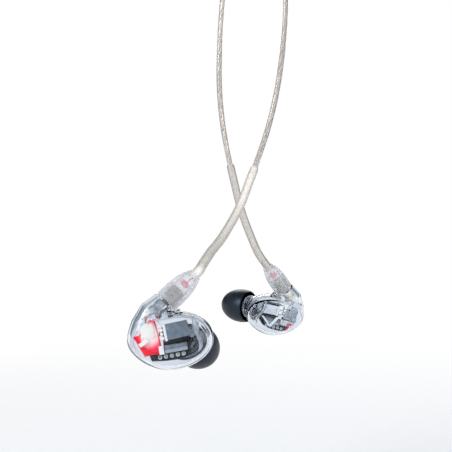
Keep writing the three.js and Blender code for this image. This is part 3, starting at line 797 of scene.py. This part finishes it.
def brushed(name, dark, light, roughness, axes, bump=0.2, metallic=0.7):
    """Drawn or brushed metal, with fine lines along the first axis."""
    s = Surface(name)
    lines = s.lines(axes, LINE_GRAINS)
    mixed = s.calculate("MULTIPLY_ADD", lines, 0.4, s.spread(s.noise(1.4, 2), 0, 0.6))
    colour = s.blend(s.spread(mixed, 0, 1, 0.2, 0.8), dark, light)
    gloss = s.spread(lines, roughness * 0.75, roughness * 1.3)
    grooves = s.bump(lines, bump, 0.02)
    return s.done(s.principled(Base_Color=colour, Metallic=metallic, Roughness=gloss, Normal=grooves))


def milky_body(s, facing, normal, colour, rim_shade_tone, glow):
    """The milk in a plastic: it scatters light both ways, painted shade darkens it towards the rim, and glow is a
    painted glow.
    """
    # rim is where the painted shade darkens the milk's tone.
    rim = s.spread(facing, 0, 1, 0.04, 0.42)
    tone = s.blend(rim, colour, tuple(c * rim_shade_tone for c in colour))
    # The emission is a painted glow, standing in for light scattered inside the plastic.
    milk = s.principled(
        Base_Color=tone, Roughness=MILK_ROUGHNESS, Normal=normal, Emission_Color=tone, Emission_Strength=glow
    )
    through = s.add("ShaderNodeBsdfTranslucent", Color=tone, Normal=normal).outputs[0]
    return s.mixed(0.5, milk, through)


def clear(
    name, tint, edge, roughness=0.02, ior=1.47, passes=0.85, grain=2.5, bump=0.04, shine=0.35,
    haze=0.0, haze_colour=(0.9, 0.92, 0.95), haze_rim_shade=0.8, haze_rim=0.0, glow=0.0,
):
    """Clear or milky plastic: its tint seen face on, and seen edge on a darker edge colour, which is painted
    shade.

    passes is the share of lamp light that reaches what lies inside, and shine the tone of the reflections.
    haze is the share of milk in it, haze_rim how much more of it the rim has, haze_colour its colour,
    haze_rim_shade the painted shade that darkens it towards the rim, and glow a painted glow, for light scattered
    inside it.
    """
    s = Surface(name)
    facing = s.add("ShaderNodeLayerWeight", Blend=0.3).outputs["Facing"]
    drift = s.spread(s.noise(grain), 0, 0.12)
    # share is how far the edge colour, painted shade at the rim, takes over from the tint.
    share = s.calculate("ADD", s.spread(facing, 0, 1, 0.45, 1), drift, clamp=True)
    gloss = s.spread(s.noise(grain / 3, 4), roughness * 0.7, roughness * 1.3)
    normal = s.bump(s.noise(grain / 2, 2), bump, 0.1)
    body = s.principled(
        Base_Color=s.blend(share, tint, edge), Roughness=gloss, IOR=ior, Transmission_Weight=1.0,
        Normal=normal, Specular_Tint=(shine, shine, shine),
    )
    if haze:
        cloud = s.spread(s.noise(grain * 0.8, 3), haze * 0.7, haze * 1.3)
        if haze_rim:
            cloud = s.calculate("ADD", cloud, s.spread(facing, 0, haze_rim, 0.15, 0.7), clamp=True)
        body = s.mixed(cloud, body, milky_body(s, facing, normal, haze_colour, haze_rim_shade, glow))
    path = s.add("ShaderNodeLightPath")
    soft = s.calculate("MAXIMUM", path.outputs["Is Shadow Ray"], path.outputs["Is Diffuse Ray"])
    open_air = s.add("ShaderNodeBsdfTransparent", Color=tuple(math.sqrt(c) for c in tint)).outputs[0]
    return s.done(s.mixed(s.calculate("MULTIPLY", soft, passes), body, open_air))


def glowing_red(name, heart, near, far, pale, deep):
    """Red moulding that is pale and pinkish around a point and saturated away from it, with a painted glow."""
    s = Surface(name)
    away = s.eased(s.vectors("DISTANCE", s.place, tuple(float(c) * MM for c in heart)), near * MM, far * MM)
    drift = s.calculate("MULTIPLY_ADD", s.noise(1.1, 4), 0.3, -0.15, clamp=True)
    colour = s.blend(s.calculate("ADD", away, drift, clamp=True), pale, deep)
    # The emission below is a painted glow, standing in for light shining through the red plastic.
    return s.done(
        s.principled(
            Base_Color=colour, Roughness=s.spread(s.noise(0.6), 0.25, 0.4), Specular_IOR_Level=0.25,
            Normal=s.bump(s.noise(0.4, 4), 0.12, 0.04), Emission_Color=colour, Emission_Strength=0.22,
        )
    )


# ---- placing pieces


def triad(first, second):
    one = unit(first)
    two = unit(np.cross(one, second))
    return np.stack([one, two, np.cross(one, two)], axis=1)


def ear_frame(side):
    """The turn and shift from an earpiece's own millimetres to the frame's millimetres."""
    mirror = np.diag([-1.0 if side == "right" else 1.0, 1.0, 1.0])
    neck, seat = JOINTS[f"{side}_swivel"], JOINTS[f"{side}_collar_turn"]
    neck_at, seat_at = np.array(neck["pos_m"]) / MM, np.array(seat["pos_m"]) / MM
    here = triad(mirror @ NECK_AXIS, mirror @ (SEAT - NECK_END))
    there = triad(neck["axis"], seat_at - neck_at)
    turn = there @ here.T @ mirror
    return turn, neck_at - turn @ NECK_END


EARS = {side: ear_frame(side) for side in SIDES}


def can_axes(side):
    """The earpiece's own y, x and z as directions in the frame. The cans are brushed along y."""
    turn = EARS[side][0]
    return [unit(turn[:, k]) for k in (1, 0, 2)]


def show(name, shape, material, node, stands_for=True):
    """One piece, drawn in the frame's millimetres. It takes its node's place, or is only shown with it."""
    made = linked(name, moved(shape, MM * np.eye(3)))
    made.data.materials.append(material)
    if stands_for:
        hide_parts(node)
    return made


def mount(name, shape, material, node, stands_for=True):
    """A piece that moves with its node's body."""
    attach(show(name, shape, material, node, stands_for), BODY_OF[node])


# ---- what the pieces are made of

# In the clear materials below, the second colour is the edge colour: painted shade where the plastic is seen edge
# on.
SHELL_CLEAR = clear("clear_shell", (0.88, 0.91, 0.95), (0.46, 0.53, 0.62), passes=0.95)
PART_CLEAR = clear("clear_part", (0.80, 0.84, 0.89), (0.34, 0.40, 0.48), roughness=0.05, grain=1.2)
DUCT_CLEAR = clear(
    "clear_duct", (0.80, 0.85, 0.9), (0.30, 0.37, 0.46), roughness=0.04, grain=1.0, shine=1.0,
    haze=0.3,
)
BOOT_MILK = clear(
    "milky_boot", (0.94, 0.95, 0.97), (0.72, 0.76, 0.82), roughness=0.18, ior=1.25, grain=2.2,
    bump=0.03, shine=0.9, haze=0.26, haze_colour=(0.95, 0.97, 1.0), haze_rim=0.5,
)
SPLITTER_MILK = clear(
    "milky_splitter", (0.90, 0.91, 0.93), (0.50, 0.54, 0.60), roughness=0.14, ior=1.3, grain=2.2,
    bump=0.05, shine=0.9, haze=0.5, haze_colour=(0.72, 0.74, 0.77),
)
JACKET_CLEAR = clear(
    "clear_jacket", (0.97, 0.96, 0.94), (0.22, 0.20, 0.18), roughness=0.06, ior=1.3, passes=0.9, grain=3.0,
    bump=0.1, shine=1.0, haze=0.18, haze_colour=(0.78, 0.76, 0.72), haze_rim_shade=0.3,
)
# Each sleeve's milk colour and painted glow: lighter on the left, darker on the right, as painted light and shade.
SLEEVE_MILK_AND_PAINTED_LIGHT = {"left": ((0.88, 0.845, 0.80), 0.75), "right": ((0.60, 0.575, 0.545), 0.35)}
SLEEVE_CLEAR = {
    side: clear(
        f"{side}_translucent_sleeve", (0.95, 0.93, 0.90), (0.46, 0.43, 0.40), roughness=0.2, ior=1.25,
        passes=0.9, grain=2.6, bump=0.06, shine=1.0, haze=0.8, haze_colour=milk, haze_rim_shade=0.36, glow=glow,
    )
    for side, (milk, glow) in SLEEVE_MILK_AND_PAINTED_LIGHT.items()
}
BLACK = moulded("black_plastic", (0.004, 0.005, 0.007), (0.012, 0.014, 0.018), 0.3, bump=0.2, specular=0.15)
RUBBER = moulded(
    "tip_rubber", (0.002, 0.0035, 0.007), (0.005, 0.0075, 0.013), 0.42, grain=3.0, bump=0.08, specular=0.4,
    shine=(0.62, 0.8, 1.0),
)
CREAM = moulded("cream_plastic", (0.97, 0.90, 0.79), (1.0, 0.955, 0.87), 0.35, coat=0.3)
WHITE = moulded("white_plastic", (0.84, 0.85, 0.87), (0.94, 0.95, 0.96), 0.3, coat=0.4)
RED = moulded("red_plastic", (0.55, 0.012, 0.05), (0.8, 0.05, 0.13), 0.28, coat=0.5)

UPRIGHT = ((0, 0, 1), (1, 0, 0), (0, 1, 0))
CONTACT = brushed("contact_metal", (0.55, 0.56, 0.58), (0.86, 0.87, 0.88), 0.2, UPRIGHT, 0.1, 1.0)
SOCKET_METAL = brushed("socket_metal", (0.60, 0.55, 0.46), (0.86, 0.81, 0.71), 0.3, UPRIGHT, 0.15)
PLUG_METAL = brushed("plug_metal", (0.17, 0.16, 0.14), (0.27, 0.255, 0.23), 0.24, UPRIGHT, 0.05, 0.8)
SOLDER = brushed("solder", (0.72, 0.73, 0.75), (0.95, 0.95, 0.96), 0.25, UPRIGHT, 0.05, 0.3)
SILVER_STRAND = brushed("silver_strand", (0.76, 0.745, 0.72), (0.98, 0.97, 0.95), 0.24, UPRIGHT)
COPPER_STRAND = brushed("copper_strand", (0.56, 0.44, 0.37), (0.80, 0.69, 0.60), 0.3, UPRIGHT)

STEEL_BLUE = ((0.14, 0.17, 0.205), (0.23, 0.27, 0.315))
# The lids' lighter steel is painted light on the lower part of a driver's face.
LIT_STEEL = ((0.30, 0.335, 0.38), (0.46, 0.50, 0.55))
SILVER = ((0.66, 0.675, 0.70), (0.84, 0.85, 0.87))
GREY_SILVER = ((0.36, 0.375, 0.41), (0.46, 0.475, 0.51))
RED_HEART = np.array([-5.6, 1.4, 1.4])
RED_CARRIER = {"near": 1.6, "far": 3.6, "pale": (0.88, 0.30, 0.33), "deep": (0.78, 0.001, 0.022)}
RED_WINDOW = {"near": 1.6, "far": 4.2, "pale": (0.96, 0.70, 0.68), "deep": (0.88, 0.008, 0.055)}

# ---- building the two earpieces

# A row is a piece's name, shape, material and node. It stands for the node unless it only adds to it.
ADDS_TO = True


def shell_rows():
    outer, inner = SHELL_HALVES
    return [
        ("shell_outer", outer, SHELL_CLEAR, "outer_shell"),
        ("shell_inner", inner, SHELL_CLEAR, "inner_shell"),
    ]


def driver_rows(side):
    left = side == "left"
    axes = can_axes(side)
    tones, metallic = (STEEL_BLUE, 0.5) if left else (SILVER, 0.4)
    can = brushed(f"{side}_driver_can", *tones, 0.42, axes, 0.08, metallic)
    small_can = brushed(f"{side}_small_can", *STEEL_BLUE, 0.4, axes, 0.08, 0.5)
    lid = brushed(f"{side}_lid", *LIT_STEEL, 0.35, axes, 0.08, 0.4)
    woofer = WOOFER[side]
    rows = [
        ("woofer_can", driver_can(*woofer), can, "woofer_driver"),
        # The white end plate is a painted highlight on the woofer's left edge.
        ("woofer_end", painted_highlight_plate(woofer, 0.65), WHITE, "woofer_driver", ADDS_TO),
        ("mid_can", driver_can(*MID), small_can, "mid_driver"),
        ("mid_lid", lower_lid(MID, MID_LID), lid, "mid_driver", ADDS_TO),
        ("tweeter_can", driver_can(*TWEETER), small_can, "tweeter_driver"),
    ]
    if left:
        end = block((1.3, 2.2, 0.5), (-2.5, -2.75, 1.7), 8, 0.1)
        rows.append(("mid_end", end, WHITE, "mid_driver", ADDS_TO))
    else:
        # A black sheet a little larger than the woofer, whose rim shows as a dark outline: painted shade in the
        # gap.
        gasket = block((6.6, 4.2, 1.0), (2.7, 2.1, 0.7), 5, 0.1)
        rows.append(("woofer_gasket", gasket, BLACK, "woofer_driver", ADDS_TO))
    return rows


def bracket_rows(side):
    rows = [("bracket", bracket_tray(), BLACK, "driver_bracket")]
    if side == "right":
        rows.append(("brace", brace_shape(), WHITE, "driver_bracket", ADDS_TO))
    return rows


def board_rows(side):
    rows = [
        ("board", board_parts(side), BLACK, "crossover_board"),
        ("solder", solder_row(side), SOLDER, "component_row"),
    ]
    if side == "right":
        tab = fitted([(-5.4, -2.7), (-7.0, -2.8), (-6.9, -5.2), (-5.4, -5.2)], 0.6, 1.9)
        heart = block((0.7, 1.4, 0.2), (-6.3, -3.9, 1.95), 4, 0.06)
        rows.append(("red_tab", tab, RED, "crossover_board", ADDS_TO))
        rows.append(("tab_heart", heart, WHITE, "crossover_board", ADDS_TO))
    return rows


def module_rows(side):
    if side == "left":
        turn, shift = EARS[side]
        heart = turn @ RED_HEART + shift
        body = glowing_red("red_carrier", heart, **RED_CARRIER)
        face = glowing_red("red_window", heart, **RED_WINDOW)
        cover = CREAM
    else:
        body = brushed("right_carrier", *SILVER, 0.35, can_axes(side), 0.1, 0.3)
        face = brushed("right_window", *GREY_SILVER, 0.4, can_axes(side), 0.06, 0.3)
        cover = face
    rows = [
        ("carrier", fitted(MODULE_BODY[side], -1.85, 1.2, 0.2), body, "acoustic_module"),
        ("carrier_face", fitted(MODULE_FACE[side], 1.1, 1.6, 0.14), face, "acoustic_module", ADDS_TO),
        ("cover_plate", fitted(COVER_PLATE, 1.5, 2.05), cover, "module_plate"),
        ("terminals", terminal_blobs(), CREAM, "module_plate", ADDS_TO),
        ("clip", fitted(MODULE_CLIP, 1.6, 2.2), cover, "module_clip"),
    ]
    if side == "right":
        rows.append(("gasket", fitted(MODULE_SHADE_OUTLINE, 1.1, 1.32), BLACK, "acoustic_module", ADDS_TO))
    return rows


def sound_rows():
    pipe, rib = duct()
    return [
        ("duct", pipe, DUCT_CLEAR, "sound_duct"),
        ("duct_rib", rib, DUCT_CLEAR, "sound_duct", ADDS_TO),
        ("nozzle_tube", on_seat(nozzle_shape()), PART_CLEAR, "nozzle"),
        ("filter", on_seat(ring(1, 6.5, 1.26, 0.85)), CONTACT, "filter_insert"),
        ("wax_screen", on_seat(wax_guard()), CONTACT, "wax_mesh"),
        ("collar", on_seat(collar_shape()), PART_CLEAR, "nozzle_collar"),
        ("tip", on_seat(tip_shape()), RUBBER, "ear_tip"),
    ]


def connector_rows(side):
    upper_wire, lower_wire = thin_wires()
    cup = CONTACT if side == "left" else SOCKET_METAL
    return [
        ("socket_cup", on_neck(socket_shape()), cup, "socket"),
        ("contact_pin", on_neck(rod(-4.8, -1, 0.32, 24, 0.12)), CONTACT, "socket_pin"),
        ("clip_ring", on_neck(snap_ring_shape()), CONTACT, "snap_ring"),
        ("plug", on_neck(plug_shape()), PLUG_METAL, "plug_barrel"),
        ("boot_moulding", on_neck(boot_shape()), BOOT_MILK, "boot"),
        ("marker", on_neck(ring(6.9, 8.0, 1.3, 0.95)), RED, "side_marker"),
        ("wire_upper", upper_wire, SILVER_STRAND, "socket", ADDS_TO),
        ("wire_lower", lower_wire, COPPER_STRAND, "socket", ADDS_TO),
    ]


SHELL_HALVES = shell_halves()


def build_ear(side):
    rows = shell_rows() + driver_rows(side) + bracket_rows(side) + board_rows(side)
    rows += module_rows(side) + sound_rows() + connector_rows(side)
    for name, shape, material, node, *adds_to in rows:
        mount(f"{side}_{name}", moved(shape, *EARS[side]), material, f"{side}_{node}", not adds_to)


# ---- the leads

STRANDS = {"radius": 0.25, "offset": 0.38, "pitch": 9.5}
IN_SLEEVE = 7  # path points by which the thin lead reaches into its sleeve
IN_BOOT = 9  # path points by which the sleeve stops short of the formable wire's end


def sleeve_shape(path):
    """The memory sleeve, with a rounded mouth that is bored wider for the thin lead."""
    points = np.arange(len(path))
    radii = np.interp(points, [0, 1, 2], [SLEEVE_RADIUS - 0.22, SLEEVE_RADIUS - 0.05, SLEEVE_RADIUS])
    bores = np.interp(points, [0, 6, 8], [SLEEVE_MOUTH, SLEEVE_MOUTH, SLEEVE_BORE])
    return tube(path, radii, bores, 28)


def build_lead(side):
    upper = curve_through(node_rings(f"{side}_upper_core"))
    lower = curve_through(node_rings(f"{side}_formable_core"))
    pivot = np.array(JOINTS[f"{side}_swing"]["pos_m"]) / MM
    whole = curve_through(np.vstack([upper[::8], pivot, lower[::6]]))
    turning = int(np.argmin(np.linalg.norm(whole - pivot, axis=1)))
    thin = tube(whole[: turning + IN_SLEEVE], JACKET_RADIUS, JACKET_BORE)
    bending = [show(f"{side}_jacket", thin, JACKET_CLEAR, f"{side}_upper_jacket")]
    for name, material, phases in (
        ("silver_strands", SILVER_STRAND, (0.0, 0.5)),
        ("copper_strands", COPPER_STRAND, (0.25, 0.75)),
    ):
        above = strands(whole[: turning + 1], phases=phases, **STRANDS)
        bending.append(show(f"{side}_{name}", above, material, f"{side}_upper_core"))
        below = strands(whole[turning:], phases=phases, **STRANDS)
        mount(f"{side}_lower_{name}", below, material, f"{side}_formable_core")
    for piece in bending:
        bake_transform(piece)
    mount(f"{side}_sleeve", sleeve_shape(lower[:-IN_BOOT]), SLEEVE_CLEAR[side], f"{side}_memory_sleeve")


def ribbed_profile(spec):
    """Shares of an upright block's height with insets: rounded at both ends, with ribs across the middle."""
    height = spec["top"] - spec["bottom"]
    edge, ribs, (low, high) = spec["rounding"], spec["ribs"], RIBBED_SHARES
    quarter = np.linspace(0, math.pi / 2, 7)
    ends = [(edge * (1 - math.cos(a)) / height, edge * (1 - math.sin(a))) for a in quarter]
    middle = []
    for share in np.linspace(low, high, 8 * ribs + 1):
        phase = (share - low) / (high - low) * ribs
        middle.append((share, spec["rib_depth"] * (0.5 - 0.5 * math.cos(phase * TURN))))
    return ends + middle + [(1 - share, inset) for share, inset in reversed(ends)]


def stadium_block(spec):
    """An upright ribbed block with round ends in plan."""
    reach = (spec["width"] - spec["thickness"]) / 2
    turns = np.linspace(-math.pi / 2, math.pi / 2, 25)
    profile = ribbed_profile(spec)
    corners, count = [], 2 * len(turns)
    for share, inset in profile:
        height = spec["bottom"] + (spec["top"] - spec["bottom"]) * share
        r = spec["thickness"] / 2 - inset
        corners += [(reach + r * math.cos(a), r * math.sin(a), height) for a in turns]
        corners += [(-reach - r * math.cos(a), -r * math.sin(a), height) for a in turns]
    faces = [list(range(count)), [(len(profile) - 1) * count + k for k in range(count)]]
    for low in range(0, (len(profile) - 1) * count, count):
        faces += belt(low, low + count, count)
    return np.array(corners, float), faces


def lead_bores(low, high, radius):
    """Cutters for the two thin leads side by side."""
    return [shifted(rod(low, high, radius, 48, 0), (x, 0, 0)) for x in (-LEAD_SPREAD, LEAD_SPREAD)]


def build_loom():
    main_bore = rod(-MAIN_LENGTH - 0.3, SPLITTER["top"] + OVERSHOOT, MAIN_RADIUS + SNUG, 48, 0)
    thin_bores = lead_bores(SPLITTER["bottom"] - OVERSHOOT, LEAD_TOP + 0.3, JACKET_RADIUS + SNUG)
    splitter = cut(stadium_block(SPLITTER), [main_bore, *thin_bores])
    mount("splitter", splitter, SPLITTER_MILK, "y_split_body")
    loose_bores = lead_bores(CINCH["bottom"] - OVERSHOOT, CINCH["top"] + OVERSHOOT, CINCH_BORE)
    mount("cinch", cut(stadium_block(CINCH), loose_bores), SPLITTER_MILK, "cinch_slider")
    mount("main_jacket", ring(-MAIN_LENGTH, 0, MAIN_RADIUS, MAIN_BORE), JACKET_CLEAR, "main_lead_jacket")
    line = np.stack([np.zeros(33), np.zeros(33), np.linspace(0, -MAIN_LENGTH, 33)], axis=1)
    quarters = np.arange(4) / 4
    silver = strands(line, phases=quarters, sides=12, **MAIN_STRANDS)
    copper = strands(line, phases=quarters + 1 / 8, sides=12, **MAIN_STRANDS)
    heart = tube(line, MAIN_STRANDS["radius"], sides=12)
    mount("main_silver_strands", silver, SILVER_STRAND, "main_lead_core")
    mount("main_copper_strands", join(copper, heart), COPPER_STRAND, "main_lead_core")


# ---- stage, light and camera

TARGET = Vector((-0.008, -0.02, -0.15))
FLOOR_HEIGHT = -0.262
FLOOR_RINGS = (0.1, 0.25, 0.5, 1.0, 2.0, 5.0, 30.0)
FLOOR_SEGMENTS = 64
FLOOR_FADE = (0.05, 0.45)  # where the floor starts and ends its fade into the white surround
ROOM_LIGHT = 0.6  # how brightly the surround lights surfaces
ROOM_SEEN_THROUGH = 0.97  # how bright it looks through clear plastic
BAND_EDGES, BAND_HEIGHTS, SKY_HEIGHTS = (0.22, 0.44), (0.3, 0.75), (0.25, 0.8)
CAMERA_PLACE, CAMERA_LENS = (-0.0097, -0.230, -0.1494), 50.886
BOUNCES = {
    "max_bounces": 24, "transmission_bounces": 20, "glossy_bounces": 6, "diffuse_bounces": 3,
    "transparent_max_bounces": 16,
}


def build_floor():
    """A wide pale floor that fades into the white surround."""
    middle = (TARGET.x, TARGET.y, FLOOR_HEIGHT)
    angles = np.linspace(0, TURN, FLOOR_SEGMENTS, endpoint=False)
    corners = [(0, 0, 0)]
    for radius in FLOOR_RINGS:
        corners += [(radius * math.cos(a), radius * math.sin(a), 0) for a in angles]
    around = [(k, (k + 1) % FLOOR_SEGMENTS) for k in range(FLOOR_SEGMENTS)]
    faces = [[0, 1 + k, 1 + n] for k, n in around]
    for i in range(len(FLOOR_RINGS) - 1):
        low, high = 1 + i * FLOOR_SEGMENTS, 1 + (i + 1) * FLOOR_SEGMENTS
        faces += [[low + k, high + k, high + n, low + n] for k, n in around]
    floor = linked("floor", (np.array(corners) + np.array(middle), faces))
    s = Surface("pale_floor")
    paper = s.blend(s.noise(6), (0.90, 0.905, 0.915), (0.95, 0.952, 0.958))
    gloss = s.spread(s.noise(3), 0.75, 0.95)
    matt = s.principled(Base_Color=paper, Roughness=gloss, Normal=s.bump(s.noise(0.8), 0.05, 0.1))
    white = s.add("ShaderNodeEmission", Color=(1, 1, 1), Strength=1.0).outputs[0]
    fade = s.eased(s.vectors("DISTANCE", s.place, middle), *FLOOR_FADE)
    floor.data.materials.append(s.done(s.mixed(fade, matt, white)))


def build_world():
    """White behind everything. What the clear plastic bends towards has soft, cooler and darker bands."""
    world = bpy.data.worlds.new("white_room")
    bpy.context.scene.world = world
    world.use_nodes = True
    w = Nodes(world.node_tree)
    place = w.add("ShaderNodeTexCoord").outputs["Generated"]
    split = w.add("ShaderNodeSeparateXYZ", Vector=place)
    x, y, z = (split.outputs[axis] for axis in "XYZ")
    band = w.eased(w.calculate("ABSOLUTE", w.calculate("MULTIPLY", x, y)), *BAND_EDGES)
    level = w.eased(w.calculate("ABSOLUTE", z), *BAND_HEIGHTS, 1.0, 0.25)
    above = w.eased(z, *SKY_HEIGHTS, 0, 0.8)
    dark = w.calculate("MAXIMUM", w.calculate("MULTIPLY", band, level), above)
    tone = w.blend(dark, (0.96, 0.975, 1.0), (0.17, 0.215, 0.28))
    path = w.add("ShaderNodeLightPath")
    strength = w.spread(path.outputs["Is Transmission Ray"], ROOM_LIGHT, ROOM_SEEN_THROUGH, 0, 1)
    room = w.add("ShaderNodeBackground", Color=tone, Strength=strength).outputs[0]
    white = w.add("ShaderNodeBackground", Color=(1, 1, 1), Strength=1.0).outputs[0]
    w.add("ShaderNodeOutputWorld", Surface=w.mixed(path.outputs["Is Camera Ray"], room, white))


def lamp(name, place, size, watts, colour=(1, 1, 1)):
    """A soft rectangular lamp that faces the part and isn't seen itself."""
    light = bpy.data.lights.new(name, "AREA")
    light.shape = "RECTANGLE"
    light.size, light.size_y = size
    light.energy = watts
    light.color = colour
    made = in_scene(name, light)
    made.location = place
    made.rotation_euler = (TARGET - Vector(place)).to_track_quat("-Z", "Y").to_euler()
    made.visible_camera = False
    made.visible_transmission = False


def build_camera():
    camera = in_scene("camera", bpy.data.cameras.new("camera"))
    camera.location = CAMERA_PLACE
    camera.rotation_euler = (math.pi / 2, 0, 0)
    camera.data.lens = CAMERA_LENS
    camera.data.sensor_width = 36
    camera.data.clip_start = 0.005
    camera.data.clip_end = 100
    bpy.context.scene.camera = camera


def set_light_paths():
    scene = bpy.context.scene
    scene.view_settings.view_transform = "Standard"
    for name, count in BOUNCES.items():
        setattr(scene.cycles, name, count)
    scene.cycles.caustics_reflective = False
    scene.cycles.caustics_refractive = False
    scene.cycles.sample_clamp_indirect = 4


for ear_side in SIDES:
    build_ear(ear_side)
for lead_side in SIDES:
    build_lead(lead_side)
build_loom()
build_floor()
build_world()
lamp("key", (-0.42, -0.42, 0.16), (0.22, 0.34), 4.0, (1.0, 0.99, 0.97))
lamp("fill", (0.5, -0.3, -0.08), (0.16, 0.4), 1.6, (0.95, 0.97, 1.0))
lamp("rim", (0.1, 0.5, 0.15), (0.5, 0.2), 1.6)
build_camera()
set_light_paths()
